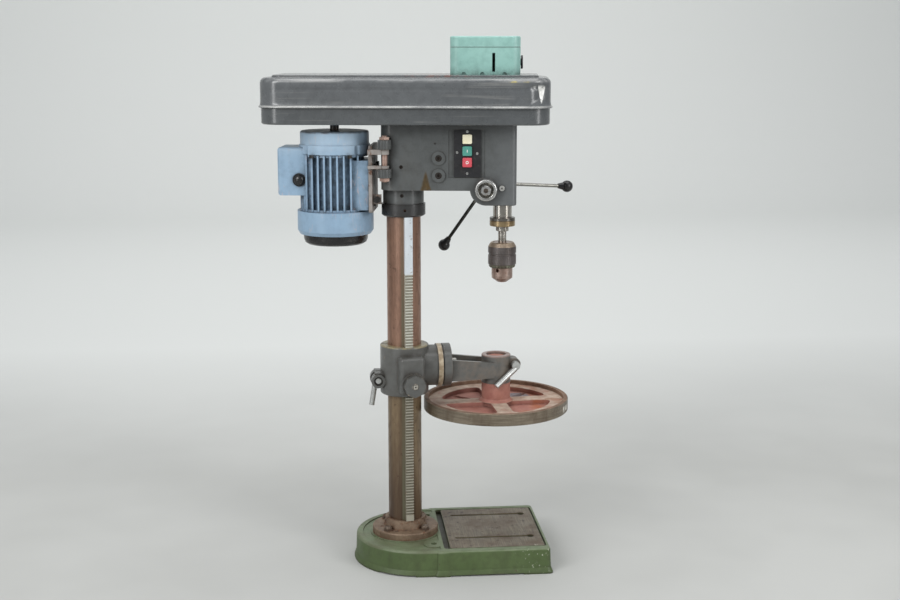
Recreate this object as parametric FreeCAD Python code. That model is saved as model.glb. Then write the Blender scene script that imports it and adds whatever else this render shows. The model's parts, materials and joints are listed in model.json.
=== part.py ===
import FreeCAD, Part
import math
import os

# Floor-standing bench drill press: cast base, round column with a lifting rack, tilting round
# table, geared quill head, belt guard and vertical motor. Millimetres, +Z up. The origin is where
# the column's axis meets the floor. +X points from the column to the base's work surface and +Y
# to the operator's right. The head and the table arm stand turned a little about the column.

# ---- driving dimensions ------------------------------------------------------------------------
HEAD_YAW = -8.0            # the head's turn about the column, degrees
ARM_YAW = 4.0              # the table arm's turn
RACK_YAW = -79.5           # the way that the lifting rack faces

BASE_HEIGHT = 55.0
BASE_HALF_WIDTH = 145.0
BASE_NOSE_CENTRE = 33.0    # centre of the base's round rear end
BASE_FRONT = 304.0
BASE_STEP = 4.0            # the rear part is this much narrower on each side
BASE_STEP_X = 58.0
BASE_WALL = 14.0
FOOT_FLARE = 5.5
PAD = (89.0, 294.0, -124.5, 125.0)     # machined work surface, X then Y
MOAT = (76.0, 298.0, -127.0, 129.0)    # groove round it
FOOT_HOLE_X = 56.0
FOOT_HOLE_Y = 93.0
FOOT_HOLE_RADIUS = 6.5
SLOT_WIDTH = 9.0

COLUMN_RADIUS = 36.5
COLUMN_BORE = 31.0
COLUMN_FOOT = 58.0
COLUMN_TOP = 943.0
FLANGE_TOP = 70.0
FLANGE_RADIUS = 72.5
FLANGE_NECK_TOP = 90.0
FLANGE_BOLT_CIRCLE = 57.0  # radius of the bolt circle

RACK_MODULE = 2.0
RACK_PITCH = math.pi * RACK_MODULE
RACK_FACE = 44.5           # distance from the column's axis to the tips of the teeth
RACK_HALF_WIDTH = 8.5
RACK_BOTTOM = 90.4
RACK_TOP = 760.1
RING_BOTTOM = 760.5
RING_TOP = 786.8
RING_RADIUS = 46.8

SLEEVE_RADIUS = 52.5
SLEEVE_BOTTOM = 372.0
SLEEVE_TOP = 480.0
SLIDE_FIT = 0.06           # radial clearance of the sliding and turning fits
WORM_HEIGHT = 405.0
WORM_PITCH_RADIUS = 8.0
GEAR_TEETH = 14
GEAR_PITCH_RADIUS = GEAR_TEETH * RACK_MODULE / 2
GEAR_REACH = RACK_FACE - RACK_MODULE + GEAR_PITCH_RADIUS
GEAR_HEIGHT = WORM_HEIGHT + WORM_PITCH_RADIUS + GEAR_PITCH_RADIUS

TILT_HEIGHT = 430.0        # height of the table's tilt axis
TILT_RADIUS = 47.0
TILT_FACE = 79.5           # face of the bracket's tilt flange
ARM_FACE = 80.0
ARM_DISC_END = 99.0
ARM_LENGTH = 203.0         # column axis to table axis
ARM_BOSS_RADIUS = 32.0
ARM_BOSS_BOTTOM = 388.0
ARM_BOSS_TOP = 450.0
TABLE_RADIUS = 159.0
TABLE_BOTTOM = 328.0
TABLE_FLOOR = 336.0        # floor of the four pockets
TABLE_BAND = 346.0         # flat tops of the ribs and of the ring round them
TABLE_TOP = 354.0          # top of the raised lip
TABLE_LIP = 10.0
TABLE_POCKET_RADIUS = 120.0
TABLE_RIB_HALF = 17.0
TABLE_HUB_RADIUS = 31.5
TABLE_STEM_RADIUS = 22.0

SPINDLE_X = 211.0
FEED_X = 177.5
FEED_HEIGHT = 822.0
FEED_TEETH = 20
FEED_MODULE = 1.5
FEED_PITCH_RADIUS = FEED_TEETH * FEED_MODULE / 2
HEAD_BACK = -44.0
HEAD_FRONT = 240.5
HEAD_HALF_WIDTH = 60.0
HEAD_TOP = 957.0
HEAD_REAR_BOTTOM = 819.0
HEAD_NOSE_BOTTOM = 788.0
NECK_RADIUS = 43.5
NECK_BOTTOM = 787.2
QUILL_RADIUS = 20.0
QUILL_BOTTOM = 757.0
QUILL_TOP = 905.0
COLLAR_BOTTOM = 739.0
NOSE_RADIUS = 8.8          # spindle nose and chuck arbor
NOSE_END = 711.4
CHUCK_TOP = 704.3
CHUCK_BOTTOM = 618.5
GUIDE_X = 210.5            # screw that keeps the quill from turning
GUIDE_HEIGHT = 825.0
SOCKET_HEIGHTS = (886.5, 850.5)

SPOKE_ANGLES = (-4.0, -124.0, 116.0)
SPOKE_START = (12.0, 80.0)   # distance from the feed axis, and Y
SPOKE_END = (163.0, 132.0)
KNOB_CENTRE = (175.0, 135.8)
KNOB_RADIUS = 13.0
SPOKE_RADIUS = 3.8
JAW_TILT = 16.0
JAW_RADIUS = 4.0

SWITCH_X = 138.0
SWITCH_BUTTON = 19.6       # side of a square push button
LAMP_HEIGHT = 926.5
START_HEIGHT = 902.0
STOP_HEIGHT = 878.5

GUARD_BACK = -290.0
GUARD_FRONT = 309.0
GUARD_HALF_WIDTH = 112.0
GUARD_CORNER = 46.0
GUARD_SHEET = 2.0
PAN_BOTTOM = 957.2
SEAM = 991.0
LID_TOP = 1053.0
PLATEAU_TOP = 1058.0
HINGE_Y = 121.0
HINGE_Z = 991.5

BOX_BACK = 101.0           # control box on the guard's lid
BOX_FRONT = 246.5
BOX_HALF = 50.0
BOX_CORNER = 19.0
BOX_SEAM = 1113.5
BOX_TOP = 1136.0

MOTOR_X = -145.7
MOTOR_COWL_RADIUS = 81.0
MOTOR_CORE_RADIUS = 62.0
SHAFT_RADIUS = 9.5
SWING_X = -33.0            # hinge rod that the motor plate turns on
SWING_Y = -74.0
MOTOR_STEPS = (58.0, 48.0, 38.0, 28.0)
SPINDLE_STEPS = (37.0, 47.0, 57.0, 67.0)
STEP_HEIGHT = 17.0
PULLEY_BOTTOM = 970.0
BELT_STEP = 2

Y_AXIS = FreeCAD.Vector(0, 1, 0)
Z_AXIS = FreeCAD.Vector(0, 0, 1)
ORIGIN = FreeCAD.Vector(0, 0, 0)


# ---- building blocks ---------------------------------------------------------------------------
def point(x, y, z):
    return FreeCAD.Vector(x, y, z)


def disc(radius, z0, z1, x=0.0, y=0.0):
    return Part.makeCylinder(radius, z1 - z0, point(x, y, z0))


def ring(outer, inner, z0, z1, x=0.0, y=0.0):
    return disc(outer, z0, z1, x, y).cut(disc(inner, z0 - 1, z1 + 1, x, y))


def rod(radius, start, end):
    along = end - start
    return Part.makeCylinder(radius, along.Length, start, along)


def block(x0, x1, y0, y1, z0, z1):
    return Part.makeBox(x1 - x0, y1 - y0, z1 - z0, point(x0, y0, z0))


def cone(radius0, radius1, z0, z1, x=0.0, y=0.0):
    return Part.makeCone(radius0, radius1, z1 - z0, point(x, y, z0))


def fuse(first, *others):
    return first.multiFuse(list(others)).removeSplitter()


def rounded_wire(x0, x1, y0, y1, radius, z):
    """Rectangle with round corners, in a level plane."""
    k = radius * (1 - math.sqrt(0.5))
    corners = [((x1 - radius, y0), (x1 - k, y0 + k), (x1, y0 + radius)),
               ((x1, y1 - radius), (x1 - k, y1 - k), (x1 - radius, y1)),
               ((x0 + radius, y1), (x0 + k, y1 - k), (x0, y1 - radius)),
               ((x0, y0 + radius), (x0 + k, y0 + k), (x0 + radius, y0))]
    edges = []
    for number, corner in enumerate(corners):
        start, middle, end = [point(x, y, z) for x, y in corner]
        following = point(*corners[(number + 1) % len(corners)][0], z)
        edges.append(Part.Arc(start, middle, end).toShape())
        edges.append(Part.makeLine(end, following))
    return Part.Wire(edges)


def rounded_block(x0, x1, y0, y1, z0, z1, radius):
    return Part.Face(rounded_wire(x0, x1, y0, y1, radius, z0)).extrude(point(0, 0, z1 - z0))


def prism(points, direction):
    """Solid that a closed polygon sweeps along a straight direction."""
    return Part.Face(Part.makePolygon(points + points[:1])).extrude(direction)


def polygon_rod(sides, flat_radius, start, end, turn=0.0):
    """Regular prism between two points; flat_radius is the distance from its axis to a flat."""
    along = end - start
    corner = flat_radius / math.cos(math.pi / sides)
    angles = [2 * math.pi * (n + 0.5) / sides + math.radians(turn) for n in range(sides)]
    corners = [point(corner * math.cos(a), corner * math.sin(a), 0) for a in angles]
    solid = prism(corners, point(0, 0, along.Length))
    solid.Placement = FreeCAD.Placement(start, FreeCAD.Rotation(Z_AXIS, along))
    return solid


def turned(profile, axis_x=0.0, axis_y=0.0):
    """Solid of revolution about a vertical axis, from (radius, height) points."""
    points = [point(axis_x + r, axis_y, z) for r, z in profile]
    face = Part.Face(Part.makePolygon(points + points[:1]))
    return face.revolve(point(axis_x, axis_y, 0), Z_AXIS, 360)


def around(solid, angles, x=0.0, y=0.0):
    copies = []
    for angle in angles:
        copy = solid.copy()
        copy.rotate(point(x, y, 0), Z_AXIS, angle)
        copies.append(copy)
    return copies


def fillet_level(solid, radius, height):
    """Rounds every edge that lies level at one height."""
    edges = [e for e in solid.Edges
             if abs(e.BoundBox.ZMin - height) < 0.01 and abs(e.BoundBox.ZMax - height) < 0.01]
    return solid.makeFillet(radius, edges)


def spoke_angles(count, first=0.0):
    return [first + 360.0 * n / count for n in range(count)]


def save(name, shape, yaw=0.0):
    solids = shape.Solids
    kept = solids[0].copy() if len(solids) == 1 else Part.makeCompound(solids)
    if yaw:
        kept.rotate(ORIGIN, Z_AXIS, yaw)
    if not solids or not kept.isValid():
        raise ValueError("bad shape: " + name)
    kept.exportStep("parts/" + name + ".step")


def save_head(name, shape):
    save(name, shape, HEAD_YAW)


def save_arm(name, shape):
    save(name, shape, ARM_YAW)


def save_rack(name, shape):
    save(name, shape, RACK_YAW)


# ---- stand: base, flange, column, rack ring ----------------------------------------------------
def rear_outline(inset, z):
    """Plan of the base's rear part: straight sides and a round rear end."""
    half = BASE_HALF_WIDTH - BASE_STEP - inset
    nose = BASE_NOSE_CENTRE
    front = BASE_STEP_X + 40
    corners = [point(nose, -half, z), point(front, -half, z), point(front, half, z), point(nose, half, z)]
    edges = [Part.makeLine(corners[n], corners[n + 1]) for n in range(3)]
    edges.append(Part.Arc(corners[3], point(nose - half, 0, z), corners[0]).toShape())
    return Part.Wire(edges)


def front_outline(inset, z):
    """Plan of the wider front part."""
    return rounded_wire(BASE_STEP_X + inset, BASE_FRONT - inset, inset - BASE_HALF_WIDTH,
                        BASE_HALF_WIDTH - inset, 10, z)


def skirted(outline):
    """Block with slightly leaning sides that sweep out to a foot, and a rounded top edge."""
    foot = Part.Face(outline(-FOOT_FLARE, 0)).extrude(point(0, 0, 3))
    sweep = Part.makeLoft([outline(-FOOT_FLARE, 3), outline(-1.5, 13)], True, True)
    sides = Part.makeLoft([outline(-1.5, 13), outline(0, BASE_HEIGHT)], True, True)
    return fillet_level(fuse(foot, sweep, sides), 5, BASE_HEIGHT)


def clamp_slot(y, x0, x1):
    """Keyhole slot for table clamps, with its round entry at the front end."""
    slot = block(x0, x1, y - SLOT_WIDTH / 2, y + SLOT_WIDTH / 2, 30, 60)
    return fuse(slot, disc(SLOT_WIDTH / 2, 30, 60, x0, y), disc(8.5, 30, 60, x1, y))


def base_grooves():
    """Wide oil groove behind the pad, narrow ones round the rest, and the sunk top of the rear part."""
    moat = rounded_block(*MOAT, 51, 60, 8).cut(rounded_block(*PAD, 50, 61, 4))
    trench = rounded_block(MOAT[0], PAD[0], MOAT[2] + 4, MOAT[3] - 4, 46.5, 60, 5)
    sunk = Part.Face(rear_outline(14, 53)).extrude(point(0, 0, 8))
    sunk = sunk.common(block(-200, 68, -200, 200, 50, 65))
    lands = [disc(FLANGE_RADIUS + 4, 50, 65)]
    lands += [disc(22, 50, 65, FOOT_HOLE_X, side * FOOT_HOLE_Y) for side in (-1, 1)]
    return [moat, trench, sunk.cut(Part.makeCompound(lands))]


def base_casting():
    body = fuse(skirted(rear_outline), skirted(front_outline))
    hollow = Part.Face(rear_outline(BASE_WALL, -1)).extrude(point(0, 0, 39))
    hollow = fuse(hollow, rounded_block(BASE_STEP_X + 14, BASE_FRONT - BASE_WALL, 18 - BASE_HALF_WIDTH,
                                        BASE_HALF_WIDTH - 18, -1, 38, 6))
    column_pad = disc(78, 0, 39).cut(disc(64, -1, 24)).cut(disc(50, -1, 40))
    ribs = [block(-108, 296, -5, 5, 0, 39), block(-6, 6, -135, 135, 0, 39),
            block(92, 100, -135, 135, 0, 39), block(284, 292, -135, 135, 0, 39)]
    bosses = [disc(17, 0, 39, FOOT_HOLE_X, side * FOOT_HOLE_Y) for side in (-1, 1)]
    core = hollow.cut(Part.makeCompound([column_pad] + ribs + bosses))
    body = body.cut(core)
    tools = base_grooves() + [clamp_slot(85, 112, 270), clamp_slot(-62, 109, 271)]
    for side in (-1, 1):
        tools.append(disc(FOOT_HOLE_RADIUS, -1, 60, FOOT_HOLE_X, side * FOOT_HOLE_Y))
        low, high = sorted((side * 108, side * 160))
        tools.append(block(88, 246, low, high, -1, 3))
        tools.append(block(-70, 14, low, high, -1, 3))
    bolt_hole = disc(6, 32, 60, FLANGE_BOLT_CIRCLE)
    tools += around(bolt_hole, spoke_angles(4, 45))
    save("base_casting", body.cut(Part.makeCompound(tools)))


def column_flange():
    plate = fillet_level(disc(FLANGE_RADIUS, BASE_HEIGHT, FLANGE_TOP), 3, FLANGE_TOP)
    body = fuse(plate, cone(47, 44, FLANGE_TOP, FLANGE_NECK_TOP))
    bore = disc(COLUMN_RADIUS, COLUMN_FOOT, FLANGE_NECK_TOP + 1)
    holes = around(disc(6.5, 50, FLANGE_TOP + 5, FLANGE_BOLT_CIRCLE), spoke_angles(4, 45))
    save("column_flange", body.cut(Part.makeCompound([bore] + holes)))


def flange_bolts():
    head = polygon_rod(6, 8, point(FLANGE_BOLT_CIRCLE, 0, FLANGE_TOP + 2),
                       point(FLANGE_BOLT_CIRCLE, 0, FLANGE_TOP + 9))
    dome = cone(11, 6, FLANGE_TOP + 2, FLANGE_TOP + 9.4, FLANGE_BOLT_CIRCLE)
    bolt = fuse(disc(6, 32, FLANGE_TOP + 2, FLANGE_BOLT_CIRCLE),
                disc(9.6, FLANGE_TOP, FLANGE_TOP + 2, FLANGE_BOLT_CIRCLE), head.common(dome))
    save("flange_bolts", Part.makeCompound(around(bolt, spoke_angles(4, 45))))


def column_tube():
    save("column_tube", ring(COLUMN_RADIUS, COLUMN_BORE, COLUMN_FOOT, COLUMN_TOP))


def rack_ring():
    """Collar that holds the rack's top end against the column."""
    body = disc(RING_RADIUS, RING_BOTTOM, RING_TOP)
    body = body.makeChamfer(3, [e for e in body.Edges if e.BoundBox.ZMax < RING_BOTTOM + 0.1])
    body = body.cut(disc(COLUMN_RADIUS, RING_BOTTOM - 1, RING_TOP + 1))
    screw_hole = rod(3, point(0, -60, 775), point(0, -30, 775))
    save("rack_ring", body.cut(screw_hole))


# ---- lifting rack and table bracket ------------------------------------------------------------
def rack_gap(z):
    """Space between two rack teeth, cut across the whole width."""
    wide, narrow, floor = 2.45, 1.1, RACK_FACE - 4.3
    profile = [point(RACK_FACE + 0.5, -12, z - wide), point(RACK_FACE + 0.5, -12, z + wide),
               point(floor, -12, z + narrow), point(floor, -12, z - narrow)]
    return prism(profile, point(0, 24, 0))


def lift_rack():
    bar = block(33, RACK_FACE, -RACK_HALF_WIDTH, RACK_HALF_WIDTH, RACK_BOTTOM, RACK_TOP)
    bar = bar.cut(disc(COLUMN_RADIUS + SLIDE_FIT, 80, 780))
    below = int((GEAR_HEIGHT - 104) / RACK_PITCH)
    above = int((637 - GEAR_HEIGHT) / RACK_PITCH)
    gaps = [rack_gap(GEAR_HEIGHT + n * RACK_PITCH) for n in range(-below, above + 1)]
    save_rack("lift_rack", bar.cut(Part.makeCompound(gaps)))


def gear_blank(teeth, module, core_radius, tip_radius, half_width):
    """Straight-flanked gear about the Y axis, one tooth pointing along -X."""
    pitch_radius = teeth * module / 2
    root_half = 1.0 * module
    pitch_half = 0.64 * module
    tip_half = 0.28 * module
    profile = [point(-core_radius + 0.5, -half_width, -root_half),
               point(-core_radius + 0.5, -half_width, root_half),
               point(-pitch_radius, -half_width, pitch_half),
               point(-tip_radius, -half_width, tip_half),
               point(-tip_radius, -half_width, -tip_half),
               point(-pitch_radius, -half_width, -pitch_half)]
    tooth = prism(profile, point(0, 2 * half_width, 0))
    wheel = rod(core_radius, point(0, -half_width, 0), point(0, half_width, 0))
    cogs = []
    for angle in spoke_angles(teeth):
        cog = tooth.copy()
        cog.rotate(ORIGIN, Y_AXIS, angle)
        cogs.append(cog)
    return fuse(wheel, *cogs)


def lift_gear():
    """Wheel that climbs the rack, with its trunnions."""
    gear = gear_blank(GEAR_TEETH, RACK_MODULE, 11.2, GEAR_PITCH_RADIUS + 1.6, 5)
    gear = fuse(gear, rod(5, point(0, -22, 0), point(0, 22, 0)))
    gear.translate(point(GEAR_REACH, 0, GEAR_HEIGHT))
    save_rack("lift_gear", gear)


def lift_worm():
    """Worm and its crank shaft, square-ended under the boss's face."""
    core = 5.4
    start, end = 46.0, 67.0
    thread_path = Part.makeHelix(RACK_PITCH, 3 * RACK_PITCH, core)
    tooth = [point(core - 0.4, 0, -1.3), point(WORM_PITCH_RADIUS + 0.8, 0, -0.4),
             point(WORM_PITCH_RADIUS + 0.8, 0, 0.4), point(core - 0.4, 0, 1.3)]
    thread = Part.Wire(thread_path).makePipeShell([Part.makePolygon(tooth + tooth[:1])],
                                                   True, True)
    thread.rotate(ORIGIN, Y_AXIS, 90)
    thread.translate(point(GEAR_REACH - 1.5 * RACK_PITCH, 0, WORM_HEIGHT))
    shaft = [rod(core, point(start, 0, WORM_HEIGHT), point(end + 1, 0, WORM_HEIGHT)),
             rod(7, point(end, 0, WORM_HEIGHT), point(96.0, 0, WORM_HEIGHT)),
             block(95, 98.5, -4.5, 4.5, WORM_HEIGHT - 4.5, WORM_HEIGHT + 4.5)]
    worm = fuse(shaft[0], shaft[1], shaft[2], thread)
    centre_hole = rod(1.6, point(93, 0, WORM_HEIGHT), point(99, 0, WORM_HEIGHT))
    save_rack("lift_worm", worm.cut(centre_hole))


def gear_housing():
    """Box over the rack that holds the lifting wheel, with the eight-sided worm boss below."""
    box = rounded_block(30, 76, -27, 27, 386, 462, 8)
    box = fillet_level(box, 6, 462)
    boss = polygon_rod(8, 22.0, point(60, 0, WORM_HEIGHT), point(97, 0, WORM_HEIGHT), 22.5)
    collar = rod(25.5, point(60, 0, WORM_HEIGHT), point(84, 0, WORM_HEIGHT))
    return fuse(box, boss, collar)


def gear_cavity():
    wheel = rod(16.8, point(GEAR_REACH, -7, GEAR_HEIGHT), point(GEAR_REACH, 7, GEAR_HEIGHT))
    pin = rod(5 + SLIDE_FIT, point(GEAR_REACH, -23, GEAR_HEIGHT), point(GEAR_REACH, 23, GEAR_HEIGHT))
    slot = block(30, RACK_FACE + 0.8, -10, 10, SLEEVE_BOTTOM - 1, SLEEVE_TOP + 1)
    worm = rod(10.2, point(40, 0, WORM_HEIGHT), point(69, 0, WORM_HEIGHT))
    journal = rod(7 + SLIDE_FIT, point(60, 0, WORM_HEIGHT), point(99, 0, WORM_HEIGHT))
    return Part.makeCompound([wheel, pin, slot, worm, journal])


def clamp_ears():
    """Split lugs behind the column that the locking bolt pulls together."""
    near = fuse(block(-66, -40, -24, -2, 388, 420), rod(15, point(-58, -30, 403), point(-58, -2, 403)))
    far = fuse(block(-66, -40, 2, 24, 388, 420), rod(17, point(-58, 2, 403), point(-58, 24, 403)))
    return fuse(near, far)


def table_bracket():
    sleeve = disc(SLEEVE_RADIUS, SLEEVE_BOTTOM, SLEEVE_TOP)
    sleeve = fillet_level(fillet_level(sleeve, 4, SLEEVE_BOTTOM), 3, SLEEVE_TOP)
    housing = gear_housing()
    housing.rotate(ORIGIN, Z_AXIS, RACK_YAW)
    cavity = gear_cavity()
    cavity.rotate(ORIGIN, Z_AXIS, RACK_YAW)
    neck = rod(TILT_RADIUS - 2.5, point(20, 0, TILT_HEIGHT), point(71, 0, TILT_HEIGHT))
    flange = rod(TILT_RADIUS, point(69, 0, TILT_HEIGHT), point(TILT_FACE, 0, TILT_HEIGHT))
    for part in (neck, flange):
        part.rotate(ORIGIN, Z_AXIS, ARM_YAW)
    body = fuse(sleeve, housing, neck, flange, clamp_ears())
    tilt_hole = rod(8, point(50, 0, TILT_HEIGHT), point(90, 0, TILT_HEIGHT))
    tilt_hole.rotate(ORIGIN, Z_AXIS, ARM_YAW)
    tools = [disc(COLUMN_RADIUS + SLIDE_FIT, 360, 500), tilt_hole,
             block(-80, -30, -2, 2, 360, 500),
             rod(6 + SLIDE_FIT, point(-58, -40, 403), point(-58, 30, 403)),
             rod(10, point(-58, -31, 403), point(-58, -23, 403))]
    body = body.cut(Part.makeCompound(tools)).cut(cavity)
    save("table_bracket", body)


def column_lock_lever():
    """Locking bolt through the ears with its hub and hanging handle on the far side."""
    stud = rod(6, point(-58, -26, 403), point(-58, 26, 403))
    hub = rod(10.5, point(-58, 25, 403), point(-58, 41, 403))
    collar = polygon_rod(6, 9, point(-58, 38, 403), point(-58, 46, 403))
    handle = rod(6, point(-60, 33, 403), point(-71, 33, 336))
    neck = rod(7.5, point(-58, 33, 403), point(-64, 33, 384))
    save("column_lock_lever", fuse(stud, hub, collar, neck, handle))


# ---- table arm and table -----------------------------------------------------------------------
def tilt_bolt():
    """Bolt that the arm tilts on and is clamped by."""
    shank = rod(8, point(50, 0, TILT_HEIGHT), point(ARM_DISC_END + 4, 0, TILT_HEIGHT))
    washer = rod(15, point(ARM_DISC_END + 0.4, 0, TILT_HEIGHT), point(ARM_DISC_END + 3, 0, TILT_HEIGHT))
    nut = polygon_rod(6, 12, point(ARM_DISC_END + 3, 0, TILT_HEIGHT),
                      point(ARM_DISC_END + 15, 0, TILT_HEIGHT))
    save_arm("tilt_bolt", fuse(shank, washer, nut))


def arm_walls():
    """Open channel between the tilt disc and the table boss, tapered in plan and in height."""
    def outline(half_back, half_front, low_back, low_front, top_back, top_front, x0, x1):
        sections = []
        for x, half, low, top in ((x0, half_back, low_back, top_back),
                                  (x1, half_front, low_front, top_front)):
            corners = [point(x, -half, low), point(x, half, low),
                       point(x, half, top), point(x, -half, top)]
            sections.append(Part.makePolygon(corners + corners[:1]))
        return Part.makeLoft(sections, True, True)
    outer = outline(36, 31, 399, 402, 446, 435, ARM_DISC_END - 1, ARM_LENGTH)
    inner = outline(27, 22, 410, 413, 460, 460, ARM_DISC_END + 0.01, ARM_LENGTH)
    return outer, inner


def table_arm():
    face = rod(TILT_RADIUS, point(ARM_FACE + 2.5, 0, TILT_HEIGHT), point(ARM_DISC_END, 0, TILT_HEIGHT))
    spigot = rod(TILT_RADIUS - 3, point(ARM_FACE, 0, TILT_HEIGHT), point(ARM_FACE + 3, 0, TILT_HEIGHT))
    outer, inner = arm_walls()
    boss = disc(ARM_BOSS_RADIUS, ARM_BOSS_BOTTOM, ARM_BOSS_TOP, ARM_LENGTH)
    boss = fillet_level(boss, 2, ARM_BOSS_TOP)
    ears = block(225, 250, -14, 14, 414, 441)
    ear_round = rod(13.5, point(242, -14, 427.5), point(242, 14, 427.5))
    shell = fuse(face, spigot, outer)
    shell = shell.cut(inner)
    body = fuse(shell, boss, ears.cut(block(242, 260, -20, 20, 400, 450)), ear_round)
    tools = [disc(TABLE_STEM_RADIUS + SLIDE_FIT, 380, 460, ARM_LENGTH),
             block(210, 260, -1.6, 1.6, 380, 460),
             rod(8 + SLIDE_FIT, point(70, 0, TILT_HEIGHT), point(110, 0, TILT_HEIGHT)),
             rod(5.5 + SLIDE_FIT, point(242, -20, 427.5), point(242, 20, 427.5))]
    save_arm("table_arm", body.cut(Part.makeCompound(tools)))


def table_lock_lever():
    """Clamp screw through the split boss, with its slanting handle on the near side."""
    stud = rod(5.5, point(242, -18, 427.5), point(242, 22, 427.5))
    hub = rod(9, point(242, -33, 427.5), point(242, -15, 427.5))
    nut = polygon_rod(6, 8.5, point(242, 14.5, 427.5), point(242, 22, 427.5))
    handle = rod(6.3, point(241, -27, 421), point(195, -45, 386))
    save_arm("table_lock_lever", fuse(stud, hub, nut, handle))


def table_slot(angle):
    slot = fuse(block(52, 108, -6.5, 6.5, 320, 345), disc(6.5, 320, 345, 52), disc(6.5, 320, 345, 108))
    return around(slot, [angle])[0]


def table_pocket():
    """Quarter pocket between two ribs, with rounded corners."""
    pocket = block(TABLE_RIB_HALF, 130, TABLE_RIB_HALF, 130, TABLE_FLOOR, TABLE_TOP + 5)
    pocket = pocket.common(disc(TABLE_POCKET_RADIUS, TABLE_FLOOR, TABLE_TOP + 5))
    upright = [e for e in pocket.Edges if e.BoundBox.ZLength > 1 and e.BoundBox.XLength < 0.01]
    return pocket.makeFillet(13, upright)


def round_table():
    """Round table hung with its work face down: lip, flat band, four ribs, hub and stem."""
    plate = disc(TABLE_RADIUS, TABLE_BOTTOM, TABLE_TOP)
    plate = plate.makeChamfer(1.2, plate.Edges[:1] + plate.Edges[2:])
    plate = plate.cut(disc(TABLE_RADIUS - TABLE_LIP, TABLE_BAND, TABLE_TOP + 1))
    plate = plate.cut(Part.makeCompound(around(table_pocket(), spoke_angles(4))))
    hub = fuse(cone(37, TABLE_HUB_RADIUS, TABLE_BAND - 0.5, TABLE_BAND + 6),
               disc(TABLE_HUB_RADIUS, TABLE_FLOOR, ARM_BOSS_BOTTOM - 0.5))
    stem = disc(TABLE_STEM_RADIUS, ARM_BOSS_BOTTOM - 1, ARM_BOSS_TOP - 5)
    body = fuse(plate, hub, stem)
    body = body.cut(Part.makeCompound([table_slot(45), table_slot(135)]))
    body.translate(point(ARM_LENGTH, 0, 0))
    save_arm("round_table", body)


# ---- head --------------------------------------------------------------------------------------
def head_profile():
    """Side view of the head swept across it, with the chin rounded about the feed axis."""
    def at(x, z):
        return point(x, -HEAD_HALF_WIDTH, z)
    chin = FEED_HEIGHT - HEAD_NOSE_BOTTOM
    side = math.sqrt(chin ** 2 - (FEED_HEIGHT - HEAD_REAR_BOTTOM) ** 2)
    middle = chin * math.sqrt(0.5)
    run = [at(FEED_X, HEAD_NOSE_BOTTOM), at(HEAD_FRONT, HEAD_NOSE_BOTTOM), at(HEAD_FRONT, HEAD_TOP),
           at(HEAD_BACK, HEAD_TOP), at(HEAD_BACK, HEAD_REAR_BOTTOM), at(FEED_X - side, HEAD_REAR_BOTTOM)]
    edges = [Part.makeLine(run[n], run[n + 1]) for n in range(5)]
    edges.append(Part.Arc(run[5], at(FEED_X - middle, FEED_HEIGHT - middle), run[0]).toShape())
    return Part.Face(Part.Wire(edges)).extrude(point(0, 2 * HEAD_HALF_WIDTH, 0))


def upright_edges(solid, x):
    return [e for e in solid.Edges if abs(e.BoundBox.XMin - x) < 0.01
            and abs(e.BoundBox.XMax - x) < 0.01 and e.BoundBox.YLength < 0.01]


def head_casting():
    body = head_profile()
    body = body.makeFillet(28, upright_edges(body, HEAD_BACK))
    body = body.makeFillet(11, upright_edges(body, HEAD_FRONT))
    body = body.makeFillet(3, [e for e in body.Edges if e.BoundBox.XMin > HEAD_FRONT - 0.01
                               and e.BoundBox.ZMax < HEAD_NOSE_BOTTOM + 0.01])
    neck = disc(NECK_RADIUS, NECK_BOTTOM, HEAD_REAR_BOTTOM + 5)
    far_boss = rod(27, point(FEED_X, 55, FEED_HEIGHT), point(FEED_X, 66, FEED_HEIGHT))
    near_boss = rod(25, point(FEED_X, -62, FEED_HEIGHT), point(FEED_X, -55, FEED_HEIGHT))
    sockets = [rod(14, point(78.3, -63, z), point(78.3, -55, z)) for z in SOCKET_HEIGHTS]
    lugs = []
    for z0, z1 in ((906, 925), (847, 865)):
        ear = rod(14, point(SWING_X, SWING_Y, z0), point(SWING_X, SWING_Y, z1))
        notch = rod(1.6, point(SWING_X + 14.4, SWING_Y, z0 - 1), point(SWING_X + 14.4, SWING_Y, z1 + 1))
        ear = ear.cut(Part.makeCompound(around(notch, spoke_angles(14), SWING_X, SWING_Y)))
        lugs.append(fuse(ear, block(SWING_X - 11, SWING_X + 13, SWING_Y + 4, -45, z0, z1)))
    body = fuse(body, neck, far_boss, near_boss, *sockets, *lugs)
    tools = [disc(COLUMN_RADIUS + SLIDE_FIT, 780, COLUMN_TOP + 1),
             disc(QUILL_RADIUS + SLIDE_FIT, 780, 912, SPINDLE_X),
             disc(26, 911, HEAD_TOP + 1, SPINDLE_X),
             block(50, 165, -50, 50, 846, 942),
             block(99, 175, -61, -58.5, 846, 946),
             block(122, 154, -60, -45, 864, 941),
             rod(11 + SLIDE_FIT, point(FEED_X, -70, FEED_HEIGHT), point(FEED_X, 70, FEED_HEIGHT)),
             rod(18, point(FEED_X, -12, FEED_HEIGHT), point(FEED_X, 12, FEED_HEIGHT)),
             disc(6 + SLIDE_FIT, 840, 930, SWING_X, SWING_Y),
             rod(4, point(0, -70, 806), point(0, -36, 806)),
             rod(4, point(0, -70, 868), point(0, -36, 868)),
             rod(4, point(GUIDE_X, -70, GUIDE_HEIGHT), point(GUIDE_X, -18, GUIDE_HEIGHT))]
    for z in SOCKET_HEIGHTS:
        tools.append(rod(7, point(78.3, -70, z), point(78.3, -56, z)))
        tools.append(rod(3.5, point(78.3, -57, z), point(78.3, -45, z)))
    for x, z in ((71, 917), (117, 899), (158.6, 897), (138, 942), (138, 855.5)):
        tools.append(rod(1.8, point(x, -63, z), point(x, -52.5, z)))
    save_head("head_casting", body.cut(Part.makeCompound(tools)))


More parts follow.
